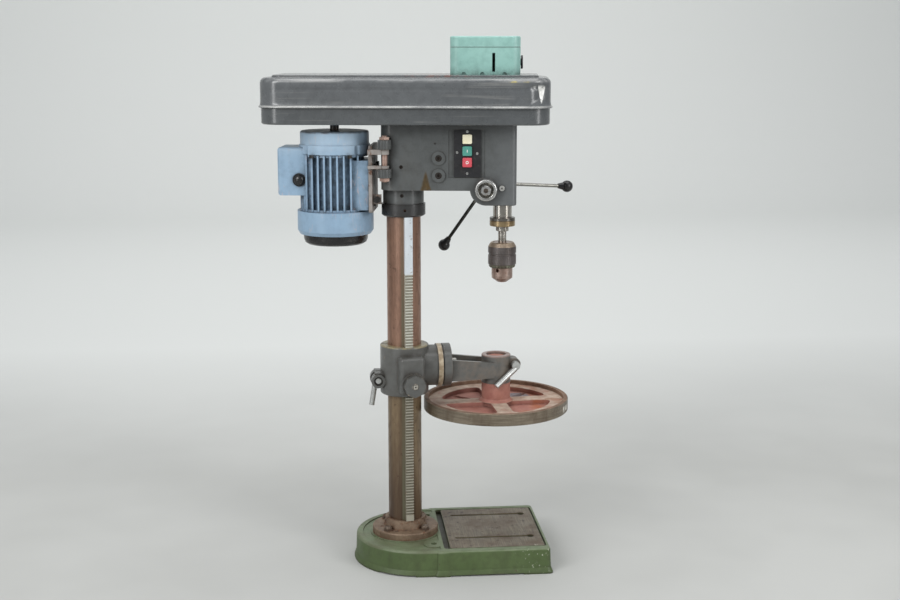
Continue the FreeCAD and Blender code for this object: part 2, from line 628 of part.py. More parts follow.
def socket_screw(x, y, z, radius, length, key):
    """Grub screw along Y with a hexagon socket in its near end."""
    body = rod(radius, point(x, y, z), point(x, y + length, z))
    return body.cut(polygon_rod(6, key, point(x, y - 1, z), point(x, y + 4, z)))


def head_screws():
    """Set screws that hold the head on the column, clamp screws and the quill's guide screw."""
    screws = [socket_screw(0, -43.0, 806, 4, 6, 2), socket_screw(0, -59, 868, 4, 20, 2)]
    for z in SOCKET_HEIGHTS:
        stud = fuse(rod(7, point(78.3, -61.5, z), point(78.3, -57, z)),
                    rod(3.5, point(78.3, -57, z), point(78.3, -46, z)))
        screws.append(stud.cut(polygon_rod(6, 3, point(78.3, -63, z), point(78.3, -58, z))))
    guide = fuse(rod(4, point(GUIDE_X, -65, GUIDE_HEIGHT), point(GUIDE_X, -22, GUIDE_HEIGHT)),
                 rod(3.5, point(GUIDE_X, -23, GUIDE_HEIGHT), point(GUIDE_X, -18, GUIDE_HEIGHT)),
                 rod(5.6, point(GUIDE_X, -64, GUIDE_HEIGHT), point(GUIDE_X, -60, GUIDE_HEIGHT)))
    screws.append(guide.cut(rod(2.4, point(GUIDE_X, -70, GUIDE_HEIGHT), point(GUIDE_X, -62, GUIDE_HEIGHT))))
    screws.append(rod(1.8, point(71, -61, 917), point(71, -53, 917)))
    save_head("head_screws", Part.makeCompound(screws))


def switch_plate():
    plate = block(110.5, 166, -62, -58.5, 847.5, 945)
    half = SWITCH_BUTTON / 2 + 0.4
    tools = []
    for z in (LAMP_HEIGHT, START_HEIGHT, STOP_HEIGHT):
        window = block(SWITCH_X - half, SWITCH_X + half, -65, -50, z - half, z + half)
        tools.append(window.makeFillet(2.5, [e for e in window.Edges if e.BoundBox.YLength > 1]))
    tools += [rod(1.8, point(x, -65, z), point(x, -55, z))
              for x, z in ((117, 899), (158.6, 897), (138, 942), (138, 855.5))]
    save_head("switch_plate", plate.cut(Part.makeCompound(tools)))


def switch_screws():
    screws = []
    for x, z in ((117, 899), (158.6, 897), (138, 942), (138, 855.5)):
        screw = fuse(rod(2.6, point(x, -63.6, z), point(x, -62, z)),
                     rod(1.8, point(x, -62.5, z), point(x, -53, z)))
        screws.append(screw.cut(block(x - 3, x + 3, -64, -63, z - 0.4, z + 0.4)))
    save_head("switch_screws", Part.makeCompound(screws))


def button(name, z, front, back):
    half = SWITCH_BUTTON / 2
    cap = block(SWITCH_X - half, SWITCH_X + half, front, back, z - half, z + half)
    cap = cap.makeFillet(2.5, [e for e in cap.Edges if e.BoundBox.YLength > 1])
    edges = [e for e in cap.Edges if e.BoundBox.YMax < front + 0.01]
    save_head(name, cap.makeFillet(1.0, edges))


# ---- quill, spindle and chuck ------------------------------------------------------------------
def quill():
    tube = ring(QUILL_RADIUS, 11, QUILL_BOTTOM, QUILL_TOP, SPINDLE_X)
    pitch = math.pi * FEED_MODULE
    gaps = []
    for n in range(-6, 25):
        z = FEED_HEIGHT + n * pitch
        if QUILL_BOTTOM + 36 < z < QUILL_TOP - 2:
            profile = [point(SPINDLE_X - 20.5, -10, z - 1.85), point(SPINDLE_X - 20.5, -10, z + 1.85),
                       point(SPINDLE_X - 16.6, -10, z + 0.95), point(SPINDLE_X - 16.6, -10, z - 0.95)]
            gaps.append(prism(profile, point(0, 20, 0)))
    tools = gaps + [disc(17, QUILL_BOTTOM - 1, 771, SPINDLE_X), disc(17, 892, 910, SPINDLE_X),
                    block(GUIDE_X - 4.3, GUIDE_X + 4.3, -22, -17.5, 798, QUILL_TOP + 1)]
    save_head("quill", tube.cut(Part.makeCompound(tools)))


def quill_collar():
    """Depth-stop and bearing collar clamped on the quill's nose."""
    body = disc(27, COLLAR_BOTTOM, QUILL_BOTTOM, SPINDLE_X)
    body = fillet_level(body, 1.5, COLLAR_BOTTOM)
    groove = ring(30, 26, COLLAR_BOTTOM + 11, COLLAR_BOTTOM + 12.5, SPINDLE_X)
    body = body.cut(disc(13.2, COLLAR_BOTTOM - 2, QUILL_BOTTOM + 2, SPINDLE_X))
    save_head("quill_collar", body.cut(groove))


def bearing(outer, inner, z0, z1):
    body = ring(outer, inner, z0, z1, SPINDLE_X)
    middle = (outer + inner) / 2
    for z, down in ((z0, -1), (z1, 1)):
        low, high = sorted((z, z - down))
        body = body.cut(ring(middle + 1.6, middle - 1.6, low - 0.2, high + 0.2, SPINDLE_X))
    return body


def spindle_bearings():
    save_head("spindle_bearings", Part.makeCompound([bearing(17, 10, 759, 771),
                                                      bearing(17, 10, 892, 904)]))


def spindle():
    """Spindle with its nose below and the long splined drive end above."""
    profile = [(0, NOSE_END), (NOSE_RADIUS - 0.6, NOSE_END), (NOSE_RADIUS, NOSE_END + 0.8),
               (NOSE_RADIUS, 738.6), (12, 738.6), (12, 758.5), (9.95, 758.5), (9.95, 906), (7.9, 906),
               (7.9, 1030), (0, 1030)]
    body = turned(profile, SPINDLE_X)
    grooves = [block(SPINDLE_X - 0.8, SPINDLE_X + 0.8, 6.6, 9, 912, 1032)]
    save_head("spindle", body.cut(Part.makeCompound(around(grooves[0], spoke_angles(6), SPINDLE_X))))


def spindle_nut():
    nut = ring(13.6, NOSE_RADIUS, 728, 738.4, SPINDLE_X)
    nut = fillet_level(nut, 1, 728)
    notches = around(block(SPINDLE_X + 12, SPINDLE_X + 15, -2, 2, 727, 739), spoke_angles(4, 20), SPINDLE_X)
    save_head("spindle_nut", nut.cut(Part.makeCompound(notches)))


def chuck_arbor():
    profile = [(0, 681), (7.6, 681), (NOSE_RADIUS, CHUCK_TOP), (NOSE_RADIUS, NOSE_END - 0.6),
               (NOSE_RADIUS - 0.6, NOSE_END), (0, NOSE_END)]
    save_head("chuck_arbor", turned(profile, SPINDLE_X))


def jaw_line(reach0, reach1):
    """Start and end of a jaw's slanted axis, measured along it from the closed tip."""
    tilt = math.radians(JAW_TILT)
    ends = []
    for reach in (reach0, reach1):
        ends.append(point(SPINDLE_X + 4.9 + reach * math.sin(tilt), 0,
                          CHUCK_BOTTOM - 0.9 + reach * math.cos(tilt)))
    return ends


def chuck_body():
    profile = [(0, CHUCK_BOTTOM), (10.5, CHUCK_BOTTOM), (22, 627), (22.5, 632), (22.5, 655), (19.4, 657),
               (19.4, CHUCK_TOP - 0.3), (0, CHUCK_TOP - 0.3)]
    body = turned(profile, SPINDLE_X)
    channel = rod(JAW_RADIUS + 0.15, *jaw_line(-6, 72))
    socket = turned([(0, 680), (7.6, 680), (7.6, 681), (NOSE_RADIUS, CHUCK_TOP),
                     (NOSE_RADIUS, CHUCK_TOP + 1), (0, CHUCK_TOP + 1)], SPINDLE_X)
    key_hole = rod(4, point(SPINDLE_X + 12, 0, 644.8), point(SPINDLE_X + 25, 0, 644.8))
    tools = [disc(7, 615, 676, SPINDLE_X), socket]
    tools += around(channel, spoke_angles(3, 30), SPINDLE_X)
    tools += around(key_hole, spoke_angles(3, -116), SPINDLE_X)
    save_head("chuck_body", body.cut(Part.makeCompound(tools)))


def chuck_sleeve():
    """Turning sleeve: two knurled bands, a bevelled top and key teeth round its lower end."""
    profile = [(22.9, 650), (26.4, 650), (28.3, 652.6), (28.3, 655.8), (30, 657.4), (30, 676.8), (28.7, 677.8), (28.7, 680.6),
               (30, 681.6), (30, 694.8), (25.5, 702.5), (23, CHUCK_TOP), (19.8, CHUCK_TOP), (19.8, 697),
               (26, 694), (26, 660), (22.9, 656)]
    body = turned(profile, SPINDLE_X)
    tooth_gap = rod(1.4, point(SPINDLE_X + 25.4, 0, 648.4), point(SPINDLE_X + 30.2, 0, 655.2))
    tools = around(tooth_gap, spoke_angles(24), SPINDLE_X)
    tools += around(disc(0.8, 660, 675.5, SPINDLE_X + 30.3), spoke_angles(44), SPINDLE_X)
    tools += around(disc(0.8, 683, 694, SPINDLE_X + 30.3), spoke_angles(44), SPINDLE_X)
    save_head("chuck_sleeve", body.cut(Part.makeCompound(tools)))


def chuck_jaws():
    blank = rod(JAW_RADIUS, *jaw_line(0, 40))
    for number, jaw in enumerate(around(blank, spoke_angles(3, 30), SPINDLE_X)):
        flat = disc(30, 600, CHUCK_BOTTOM - 0.5, SPINDLE_X)
        save_head("chuck_jaw_%d" % (number + 1), jaw.cut(flat))


# ---- quill feed --------------------------------------------------------------------------------
def feed_shaft():
    """Pinion shaft across the head, from the return spring to the handle hub."""
    gear = gear_blank(FEED_TEETH, FEED_MODULE, 12.9, FEED_PITCH_RADIUS + 1.1, 9)
    shaft = fuse(gear, rod(11, point(0, -66, 0), point(0, 76, 0)),
                 rod(5.2, point(0, -80.5, 0), point(0, -60, 0)))
    shaft = shaft.cut(rod(4.2, point(0, -81, 0), point(0, -70, 0)))
    shaft.translate(point(FEED_X, 0, FEED_HEIGHT))
    save_head("feed_shaft", shaft)


def handle_point(reach, y, angle):
    return point(FEED_X + reach * math.cos(math.radians(angle)), y,
                 FEED_HEIGHT + reach * math.sin(math.radians(angle)))


def spoke(angle):
    return rod(SPOKE_RADIUS, handle_point(*SPOKE_START, angle), handle_point(*SPOKE_END, angle))


def feed_hub():
    body = rod(23, point(FEED_X, 67, FEED_HEIGHT), point(FEED_X, 96, FEED_HEIGHT))
    edges = [e for e in body.Edges if e.BoundBox.YMin > 95.9]
    body = body.makeChamfer(3, edges)
    tools = [rod(11.01, point(FEED_X, 60, FEED_HEIGHT), point(FEED_X, 76, FEED_HEIGHT))]
    for angle in SPOKE_ANGLES:
        tools.append(spoke(angle))
    save_head("feed_hub", body.cut(Part.makeCompound(tools)))


def feed_spokes():
    save_head("feed_spokes", Part.makeCompound([spoke(angle) for angle in SPOKE_ANGLES]))


def feed_knobs():
    knobs = []
    for angle in SPOKE_ANGLES:
        ball = Part.makeSphere(KNOB_RADIUS, handle_point(*KNOB_CENTRE, angle))
        inner, outer = handle_point(155, 129.5, angle), handle_point(170, 134.2, angle)
        neck = Part.makeCone(5.5, 9.5, (outer - inner).Length, inner, outer - inner)
        knobs.append(fuse(ball, neck).cut(spoke(angle)))
    save_head("feed_knobs", Part.makeCompound(knobs))


def spiral(half_turns, inner_radius, pitch, thickness, y0, y1):
    """Flat coil spring made of half circles, alternately centred either side of the axis."""
    outer_edges, inner_edges = [], []
    for n in range(half_turns):
        radius = inner_radius + n * pitch / 2
        side = 1 if n % 2 == 0 else -1
        centre = 0.0 if n % 2 == 0 else pitch / 2
        for store, r in ((outer_edges, radius + thickness), (inner_edges, radius)):
            store.append((point(centre + side * r, y0, 0), point(centre, y0, side * r),
                          point(centre - side * r, y0, 0)))
    loop = [Part.Arc(*arc).toShape() for arc in outer_edges]
    loop.append(Part.makeLine(outer_edges[-1][2], inner_edges[-1][2]))
    loop += [Part.Arc(*arc[::-1]).toShape() for arc in reversed(inner_edges)]
    loop.append(Part.makeLine(inner_edges[0][0], outer_edges[0][0]))
    return Part.Face(Part.Wire(loop)).extrude(point(0, y1 - y0, 0))


def return_spring():
    coil = spiral(6, 11.6, 2.4, 0.7, -73, -65)
    coil.translate(point(FEED_X, 0, FEED_HEIGHT))
    save_head("return_spring", coil)


def spring_cap():
    """Dished cap over the return spring."""
    outer = rod(22.8, point(0, -79, 0), point(0, -62.1, 0))
    outer = outer.makeFillet(3, [e for e in outer.Edges if e.BoundBox.YMax < -78.9])
    dish = Part.makeCone(17, 13, 2.2, point(0, -79.01, 0), Y_AXIS)
    tools = [rod(20.8, point(0, -76.0 + 2.2, 0), point(0, -60, 0)), dish,
             rod(6.3, point(0, -80, 0), point(0, -60, 0))]
    cap = outer.cut(Part.makeCompound(tools))
    cap.translate(point(FEED_X, 0, FEED_HEIGHT))
    save_head("spring_cap", cap)


def spring_cap_nut():
    nut = polygon_rod(6, 9.8, point(0, -84.5, 0), point(0, -77, 0), 15)
    nut = nut.common(Part.makeCone(9.2, 16.7, 7.5, point(0, -84.5, 0), Y_AXIS))
    nut = nut.cut(rod(5.2, point(0, -90, 0), point(0, -70, 0)))
    nut.translate(point(FEED_X, 0, FEED_HEIGHT))
    save_head("spring_cap_nut", nut)


# ---- drive -------------------------------------------------------------------------------------
def drive_sleeve():
    """Hollow shaft that turns the splined spindle and carries its pulley."""
    body = ring(14.95, 8.0, 914, 1036, SPINDLE_X)
    keys = around(block(SPINDLE_X - 0.5, SPINDLE_X + 0.5, 7.0, 8.4, 916, 936), spoke_angles(6), SPINDLE_X)
    collar = ring(18, 14.9, 958, 966, SPINDLE_X)
    save_head("drive_sleeve", fuse(body, collar, *keys))


def sleeve_bearings():
    save_head("sleeve_bearings", Part.makeCompound([bearing(26, 15, 916, 928),
                                                     bearing(26, 15, 944, 956)]))


def step_pulley(steps, x, bore):
    """Stepped V-pulley, wide groove on every step."""
    profile = [(bore, PULLEY_BOTTOM)]
    for number, radius in enumerate(steps):
        z0 = PULLEY_BOTTOM + number * STEP_HEIGHT
        middle = z0 + STEP_HEIGHT / 2
        profile += [(radius + 0.5, z0), (radius + 0.5, middle - 7.1), (radius - 9, middle - 4.5),
                    (radius - 9, middle + 4.5), (radius + 0.5, middle + 7.1), (radius + 0.5, z0 + STEP_HEIGHT)]
    profile.append((bore, PULLEY_BOTTOM + len(steps) * STEP_HEIGHT))
    return turned(profile, x)


def pulleys():
    save_head("spindle_pulley", step_pulley(SPINDLE_STEPS, SPINDLE_X, 14.95))
    save_head("motor_pulley", step_pulley(MOTOR_STEPS, MOTOR_X, SHAFT_RADIUS))


def belt_outline(radius0, radius1, z):
    """Closed line round both pulleys: two arcs and the two tangents between them."""
    span = SPINDLE_X - MOTOR_X
    lean = math.asin((radius1 - radius0) / span)
    c, s = math.cos(lean), math.sin(lean)
    a_top, b_top = [point(x - r * s, r * c, z) for x, r in ((MOTOR_X, radius0), (SPINDLE_X, radius1))]
    a_low, b_low = [point(x - r * s, -r * c, z) for x, r in ((MOTOR_X, radius0), (SPINDLE_X, radius1))]
    return Part.Wire([Part.Arc(a_top, point(MOTOR_X - radius0, 0, z), a_low).toShape(),
                      Part.makeLine(a_low, b_low),
                      Part.Arc(b_low, point(SPINDLE_X + radius1, 0, z), b_top).toShape(),
                      Part.makeLine(b_top, a_top)])


def drive_belt():
    r0, r1 = MOTOR_STEPS[BELT_STEP], SPINDLE_STEPS[BELT_STEP]
    depth, half_out, half_in = 8.0, 6.3, 3.9
    middle = PULLEY_BOTTOM + (BELT_STEP + 0.5) * STEP_HEIGHT

    def outline(inset, z):
        return belt_outline(r0 - inset, r1 - inset, z)
    belt = Part.Face(outline(0, middle - half_out)).extrude(point(0, 0, 2 * half_out))
    hole = Part.Face(outline(depth, middle - half_out - 1)).extrude(point(0, 0, 2 * half_out + 2))
    top = Part.makeLoft([outline(depth, middle + half_in), outline(0, middle + half_out)], True, True)
    low = Part.makeLoft([outline(depth, middle - half_in), outline(0, middle - half_out)], True, True)
    save_head("drive_belt", belt.cut(hole).cut(top).cut(low))


# ---- belt guard and control box ----------------------------------------------------------------
def guard_layer(inset, z0, z1):
    return rounded_block(GUARD_BACK + inset, GUARD_FRONT - inset, inset - GUARD_HALF_WIDTH,
                         GUARD_HALF_WIDTH - inset, z0, z1, GUARD_CORNER - inset)


def hinge_places():
    return (-200.0, 45.0)


def guard_pan():
    """Sheet tray bolted on the head, open to the drive sleeve and the motor shaft."""
    outer = fillet_level(guard_layer(1.2, PAN_BOTTOM, SEAM - 0.6), 4, PAN_BOTTOM)
    tray = outer.cut(guard_layer(1.2 + GUARD_SHEET, PAN_BOTTOM + GUARD_SHEET, SEAM + 5))
    tools = [disc(30, 950, 965, SPINDLE_X), disc(34, 950, 965, MOTOR_X + 4, 6)]
    save_head("guard_pan", tray.cut(Part.makeCompound(tools)))


def guard_lid():
    """Pressed cover with a rolled lip, a raised panel on top and two hinge eyes at its far side."""
    shell = fillet_level(guard_layer(0, SEAM, LID_TOP), 12, LID_TOP)
    plateau = fillet_level(guard_layer(24, LID_TOP - 5, PLATEAU_TOP), 3, PLATEAU_TOP)
    outer = fuse(shell, plateau)
    ceiling = LID_TOP - GUARD_SHEET
    inner = fillet_level(guard_layer(GUARD_SHEET, SEAM - 1, ceiling), 10, ceiling)
    lid = outer.cut(inner)
    lip = guard_layer(-4, SEAM, SEAM + 4)
    lip = fillet_level(fillet_level(lip, 1.8, SEAM), 1.8, SEAM + 4)
    lip = lip.cut(guard_layer(GUARD_SHEET, SEAM - 1, SEAM + 6))
    eyes = []
    for x in hinge_places():
        eye = fuse(rod(4.4, point(x - 9, HINGE_Y, HINGE_Z), point(x + 9, HINGE_Y, HINGE_Z)),
                   block(x - 9, x + 9, 111, HINGE_Y, HINGE_Z, HINGE_Z + 4.4))
        eyes.append(eye)
    lid = fuse(lid, lip, *eyes)
    bores = [rod(2.5 + SLIDE_FIT, point(x - 12, HINGE_Y, HINGE_Z), point(x + 12, HINGE_Y, HINGE_Z))
             for x in hinge_places()]
    save_head("guard_lid", lid.cut(Part.makeCompound(bores)))


def guard_hinge():
    """Two hinge pins with the leaves that are riveted to the pan."""
    hinges = []
    for x in hinge_places():
        pin = rod(2.5, point(x - 20, HINGE_Y, HINGE_Z), point(x + 20, HINGE_Y, HINGE_Z))
        leaf = block(x - 20, x + 20, 110.8, 112.8, 968, 986)
        arms = []
        for low, high in ((x - 20, x - 9.6), (x + 9.6, x + 20)):
            arms.append(rod(4.4, point(low, HINGE_Y, HINGE_Z), point(high, HINGE_Y, HINGE_Z)))
            arms.append(prism([point(low, 112, 986), point(low, 112.8, 978), point(low, HINGE_Y + 3, 988.5),
                               point(low, HINGE_Y - 2, 990)], point(high - low, 0, 0)))
        hinges.append(fuse(pin, leaf, *arms))
    save_head("guard_hinge", Part.makeCompound(hinges))


def control_box():
    outer = rounded_block(BOX_BACK, BOX_FRONT, -BOX_HALF, BOX_HALF, PLATEAU_TOP, BOX_SEAM, BOX_CORNER)
    inner = rounded_block(BOX_BACK + 4, BOX_FRONT - 4, 4 - BOX_HALF, BOX_HALF - 4,
                          PLATEAU_TOP + 4, BOX_SEAM + 1, BOX_CORNER - 4)
    tools = [inner, block(188.5, 194.5, -BOX_HALF - 1, 6 - BOX_HALF, PLATEAU_TOP + 6, 1102),
             rod(7 + SLIDE_FIT, point(235, 0, 1083), point(250, 0, 1083))]
    tools += [rod(5, point(x, -BOX_HALF - 1, PLATEAU_TOP), point(x, 3 - BOX_HALF, PLATEAU_TOP))
              for x in (130, 168, 214)]
    save_head("control_box", outer.cut(Part.makeCompound(tools)))


def control_box_lid():
    body = rounded_block(BOX_BACK, BOX_FRONT, -BOX_HALF, BOX_HALF, BOX_SEAM + 0.6, BOX_TOP, BOX_CORNER)
    body = fillet_level(body, 3.5, BOX_TOP)
    recess = rounded_block(BOX_BACK + 4, BOX_FRONT - 4, 4 - BOX_HALF, BOX_HALF - 4,
                           BOX_SEAM - 1, BOX_TOP - 4, BOX_CORNER - 4)
    body = body.cut(recess)
    screws = [disc(3, BOX_TOP - 2.5, BOX_TOP + 1, x, y) for x in (BOX_BACK + 14, BOX_FRONT - 14)
              for y in (14 - BOX_HALF, BOX_HALF - 14)]
    save_head("control_box_lid", body.cut(Part.makeCompound(screws)))


def control_knob():
    stem = rod(7, point(239, 0, 1083), point(248, 0, 1083))
    cap = rod(14, point(247.2, 0, 1083), point(251.6, 0, 1083))
    cap = cap.makeFillet(1.5, [e for e in cap.Edges if e.BoundBox.XMin > 251.5])
    mark = block(250.6, 252, -1.4, 1.4, 1085, 1098)
    save_head("control_knob", fuse(stem, cap).cut(mark))


# ---- motor -------------------------------------------------------------------------------------
def motor_body():
    """Finned die-cast body with its mounting foot on the head's side."""
    core = disc(MOTOR_CORE_RADIUS, 772, 893, MOTOR_X)
    reach = 74.0
    fins = []
    for n in range(-4, 5):
        offset = n * 13.6
        tip = math.sqrt(reach ** 2 - offset ** 2)
        fins.append(block(MOTOR_X + offset - 1.8, MOTOR_X + offset + 1.8, -tip, tip, 774, 891))
    for n in (-3, -2, -1, 0, 1, 2, 3):
        offset = n * 13.6
        tip = math.sqrt(reach ** 2 - offset ** 2)
        fins.append(block(MOTOR_X - tip, MOTOR_X, offset - 1.8, offset + 1.8, 774, 891))
    foot = block(MOTOR_X + 40, -67.6, -50, 50, 776, 880)
    foot = foot.makeFillet(4, upright_edges(foot, -67.6))
    lands = [ring(72, 60, 772, 777, MOTOR_X), ring(70, 60, 887, 893, MOTOR_X)]
    body = fuse(core, foot, *fins, *lands)
    tools = [disc(42, 780, 900, MOTOR_X), disc(SHAFT_RADIUS + SLIDE_FIT, 760, 790, MOTOR_X)]
    tools += [rod(4, point(-76, y, z), point(-60, y, z)) for y in (-34, 34) for z in (790, 866)]
    tools.append(block(-300, MOTOR_X - 44, -44.2, 44.2, 805.8, 907.2).cut(disc(58, 700, 950, MOTOR_X)))
    save_head("motor_body", body.cut(Part.makeCompound(tools)))


def motor_end_shield():
    """Upper bearing shield: a round cap over a squared flange with bolt lugs."""
    cap = fillet_level(disc(73, 911, 940, MOTOR_X), 4, 940)
    half = 49
    square = fuse(block(MOTOR_X - half, MOTOR_X + half, -78, 78, 893, 912),
                  block(MOTOR_X - 73, MOTOR_X + 73, -half, half, 893, 912))
    flange = square.common(disc(76, 893, 912, MOTOR_X))
    body = fuse(cap, flange, disc(70, 893, 912, MOTOR_X))
    hollow = disc(58, 892, 930, MOTOR_X)
    bore = disc(SHAFT_RADIUS + SLIDE_FIT, 920, 950, MOTOR_X)
    clear = block(-300, MOTOR_X - 44, -44.2, 44.2, 880, 907.2).cut(disc(62, 700, 950, MOTOR_X))
    save_head("motor_end_shield", body.cut(Part.makeCompound([hollow, bore, clear])))


def motor_fan_cowl():
    shell = turned([(62, 772), (MOTOR_COWL_RADIUS, 772), (MOTOR_COWL_RADIUS, 730), (76, 722),
                    (74, 722), (78.5, 731), (78.5, 769.5), (62, 769.5)], MOTOR_X)
    save_head("motor_fan_cowl", shell)


def motor_end_cap():
    """Black grille pressed into the cowl's lower end."""
    profile = [(0, 700), (60, 700), (66, 704), (68, 710), (69.5, 722), (73.5, 722), (73.5, 724),
               (66, 724), (64, 711), (60, 703), (0, 703)]
    body = turned(profile, MOTOR_X)
    vents = [block(MOTOR_X + 14, MOTOR_X + 50, -2, 2, 695, 705)]
    save_head("motor_end_cap", body.cut(Part.makeCompound(around(vents[0], spoke_angles(16), MOTOR_X))))


def motor_rotor():
    """Shaft with its laminated core, and the cooling fan on its lower end."""
    shaft = fuse(disc(SHAFT_RADIUS, 732, 1040, MOTOR_X), disc(41.4, 784, 888, MOTOR_X))
    fan = ring(60, SHAFT_RADIUS, 740, 743, MOTOR_X)
    blade = block(MOTOR_X + 16, MOTOR_X + 60, -1.2, 1.2, 743, 764)
    fan = fuse(fan, *around(blade, spoke_angles(8), MOTOR_X))
    save_head("motor_rotor", Part.makeCompound([shaft, fan]))


def terminal_box():
    outer = block(-262, MOTOR_X - 45, -44, 44, 806, 907)
    outer = outer.makeFillet(7, [e for e in outer.Edges if e.BoundBox.XMax < -261.9
                                 or (e.BoundBox.ZMin > 906.9 and e.BoundBox.XLength > 10)])
    inner = block(-258, MOTOR_X - 45, -40, 40, 810, 903)
    box = outer.cut(inner).cut(disc(62.0, 700, 950, MOTOR_X))
    save_head("terminal_box", box.cut(rod(6, point(-216, -50, 839), point(-216, -35, 839))))


def cable_gland():
    """Blanking gland on the terminal box: a low dome over a threaded stub."""
    dome = Part.makeSphere(15.2, point(-216, -38, 839)).common(block(-240, -190, -60, -44, 820, 860))
    flange = rod(13.9, point(-216, -47, 839), point(-216, -44, 839))
    stub = rod(6, point(-216, -45, 839), point(-216, -36, 839))
    save_head("cable_gland", fuse(dome, flange, stub))


def motor_plate():
    """Hinged plate between the motor foot and the rod on the head."""
    plate = block(-67.5, -60, -66, 56, 772, 912)
    plate = plate.makeFillet(6, [e for e in plate.Edges if e.BoundBox.XLength > 7
                                 and e.BoundBox.YLength < 0.01 and e.BoundBox.ZLength < 0.01])
    arms = []
    for z0, z1 in ((895, 905.4), (865.6, 872)):
        arm = fuse(block(-62, SWING_X - 6, -82, -66, z0, z1), block(-67.5, -60, -82, -60, z0, z1),
                   rod(9.5, point(SWING_X, SWING_Y, z0), point(SWING_X, SWING_Y, z1)))
        arms.append(arm)
    arms.append(block(-61, -42, -58, -50, 790, 810))
    body = fuse(plate, *arms)
    tools = [disc(6 + SLIDE_FIT, 840, 930, SWING_X, SWING_Y)]
    tools += [rod(4, point(-70, y, z), point(-50, y, z)) for y in (-34, 34) for z in (790, 866)]
    tools.append(rod(4, point(-50, -60, 800), point(-50, -45, 800)))
    save_head("motor_plate", body.cut(Part.makeCompound(tools)))


def hinge_rod():
    """Vertical rod that the motor plate swings on, with a splined clamp nut at each end."""
    shaft = disc(6, 838, 934, SWING_X, SWING_Y)
    nuts = []
    for z0, z1 in ((925.5, 931), (840, 846.5)):
        nut = polygon_rod(6, 10, point(SWING_X, SWING_Y, z0), point(SWING_X, SWING_Y, z1))
        nuts.append(nut)
    save_head("hinge_rod", fuse(shaft, *nuts))


def motor_bolts():
    """Foot bolts, the shield's tie bolts and the belt tension lock bolt."""
    bolts = []
    for y in (-34, 34):
        for z in (790, 866):
            bolts.append(fuse(rod(4, point(-75.5, y, z), point(-60, y, z)),
                              polygon_rod(6, 6.5, point(-60, y, z), point(-54.6, y, z))))
    for x in (MOTOR_X - 40, MOTOR_X + 40):
        bolts.append(polygon_rod(6, 4.5, point(x, -69.6, 886.5), point(x, -69.6, 893)))
    bolts.append(fuse(polygon_rod(6, 6.5, point(-50, -68, 800), point(-50, -58, 800)),
                      rod(4, point(-50, -59, 800), point(-50, -46, 800))))
    save_head("motor_bolts", Part.makeCompound(bolts))


def build():
    os.makedirs("parts", exist_ok=True)
    base_casting()
    column_flange()
    flange_bolts()
    column_tube()
    rack_ring()
    lift_rack()
    table_bracket()
    tilt_bolt()
    lift_gear()
    lift_worm()
    column_lock_lever()
    table_arm()
    table_lock_lever()
    round_table()
    head_casting()
    head_screws()
    switch_plate()
    switch_screws()
    button("power_lamp", LAMP_HEIGHT, -64.5, -58.6)
    button("start_button", START_HEIGHT, -66.5, -57)
    button("stop_button", STOP_HEIGHT, -66.5, -57)
    quill()
    quill_collar()
    spindle_bearings()
    spindle()
    spindle_nut()
    chuck_arbor()
    chuck_body()
    chuck_sleeve()
    chuck_jaws()
    feed_shaft()
    feed_hub()
    feed_spokes()
    feed_knobs()
    return_spring()
    spring_cap()
    spring_cap_nut()
    drive_sleeve()
    sleeve_bearings()
    pulleys()
    drive_belt()
    guard_pan()
    guard_lid()
    guard_hinge()
    control_box()
    control_box_lid()
    control_knob()
    motor_body()
    motor_end_shield()
    motor_fan_cowl()
    motor_end_cap()
    motor_rotor()
    terminal_box()
    cable_gland()
    motor_plate()
    hinge_rod()
    motor_bolts()


build()
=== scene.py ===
import json
import math

import bmesh
import bpy
from mathutils import Matrix, Vector


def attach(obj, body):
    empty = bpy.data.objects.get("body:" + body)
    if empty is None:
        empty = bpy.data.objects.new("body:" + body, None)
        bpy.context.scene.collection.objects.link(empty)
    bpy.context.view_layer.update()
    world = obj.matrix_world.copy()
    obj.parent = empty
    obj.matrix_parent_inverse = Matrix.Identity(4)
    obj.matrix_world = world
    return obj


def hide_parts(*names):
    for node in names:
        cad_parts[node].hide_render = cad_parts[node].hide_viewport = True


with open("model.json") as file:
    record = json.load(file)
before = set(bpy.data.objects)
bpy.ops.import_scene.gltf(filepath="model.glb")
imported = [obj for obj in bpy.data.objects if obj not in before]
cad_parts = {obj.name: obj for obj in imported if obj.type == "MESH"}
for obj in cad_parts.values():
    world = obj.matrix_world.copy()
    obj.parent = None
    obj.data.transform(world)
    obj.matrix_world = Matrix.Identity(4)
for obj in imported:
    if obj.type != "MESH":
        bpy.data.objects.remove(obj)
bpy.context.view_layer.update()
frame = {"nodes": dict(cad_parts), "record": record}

NODES = frame["nodes"]
HEAD_YAW = math.radians(-8.0)          # how the head, the arm and the rack stand round the column
ARM_YAW = math.radians(4.0)
RACK_YAW = math.radians(-79.5)
ARM_HEIGHT = 0.430           # Z of the tilt joint
TABLE_X = 0.203              # centre of the round table along the arm
FEED = (0.1775, 0.822)       # X and Z of the feed axis, in the head's own axes
NO_LINES = (1, 1, 1)         # noise stretch of a metal with no machining lines


# ---- node materials ----------------------------------------------------------------------------
def rgb(red, green, blue):
    """Display colour from 0 to 255, as the linear colour that a shader takes."""
    linear = []
    for level in (red / 255, green / 255, blue / 255):
        linear.append(level / 12.92 if level <= 0.04045 else ((level + 0.055) / 1.055) ** 2.4)
    return (*linear, 1.0)


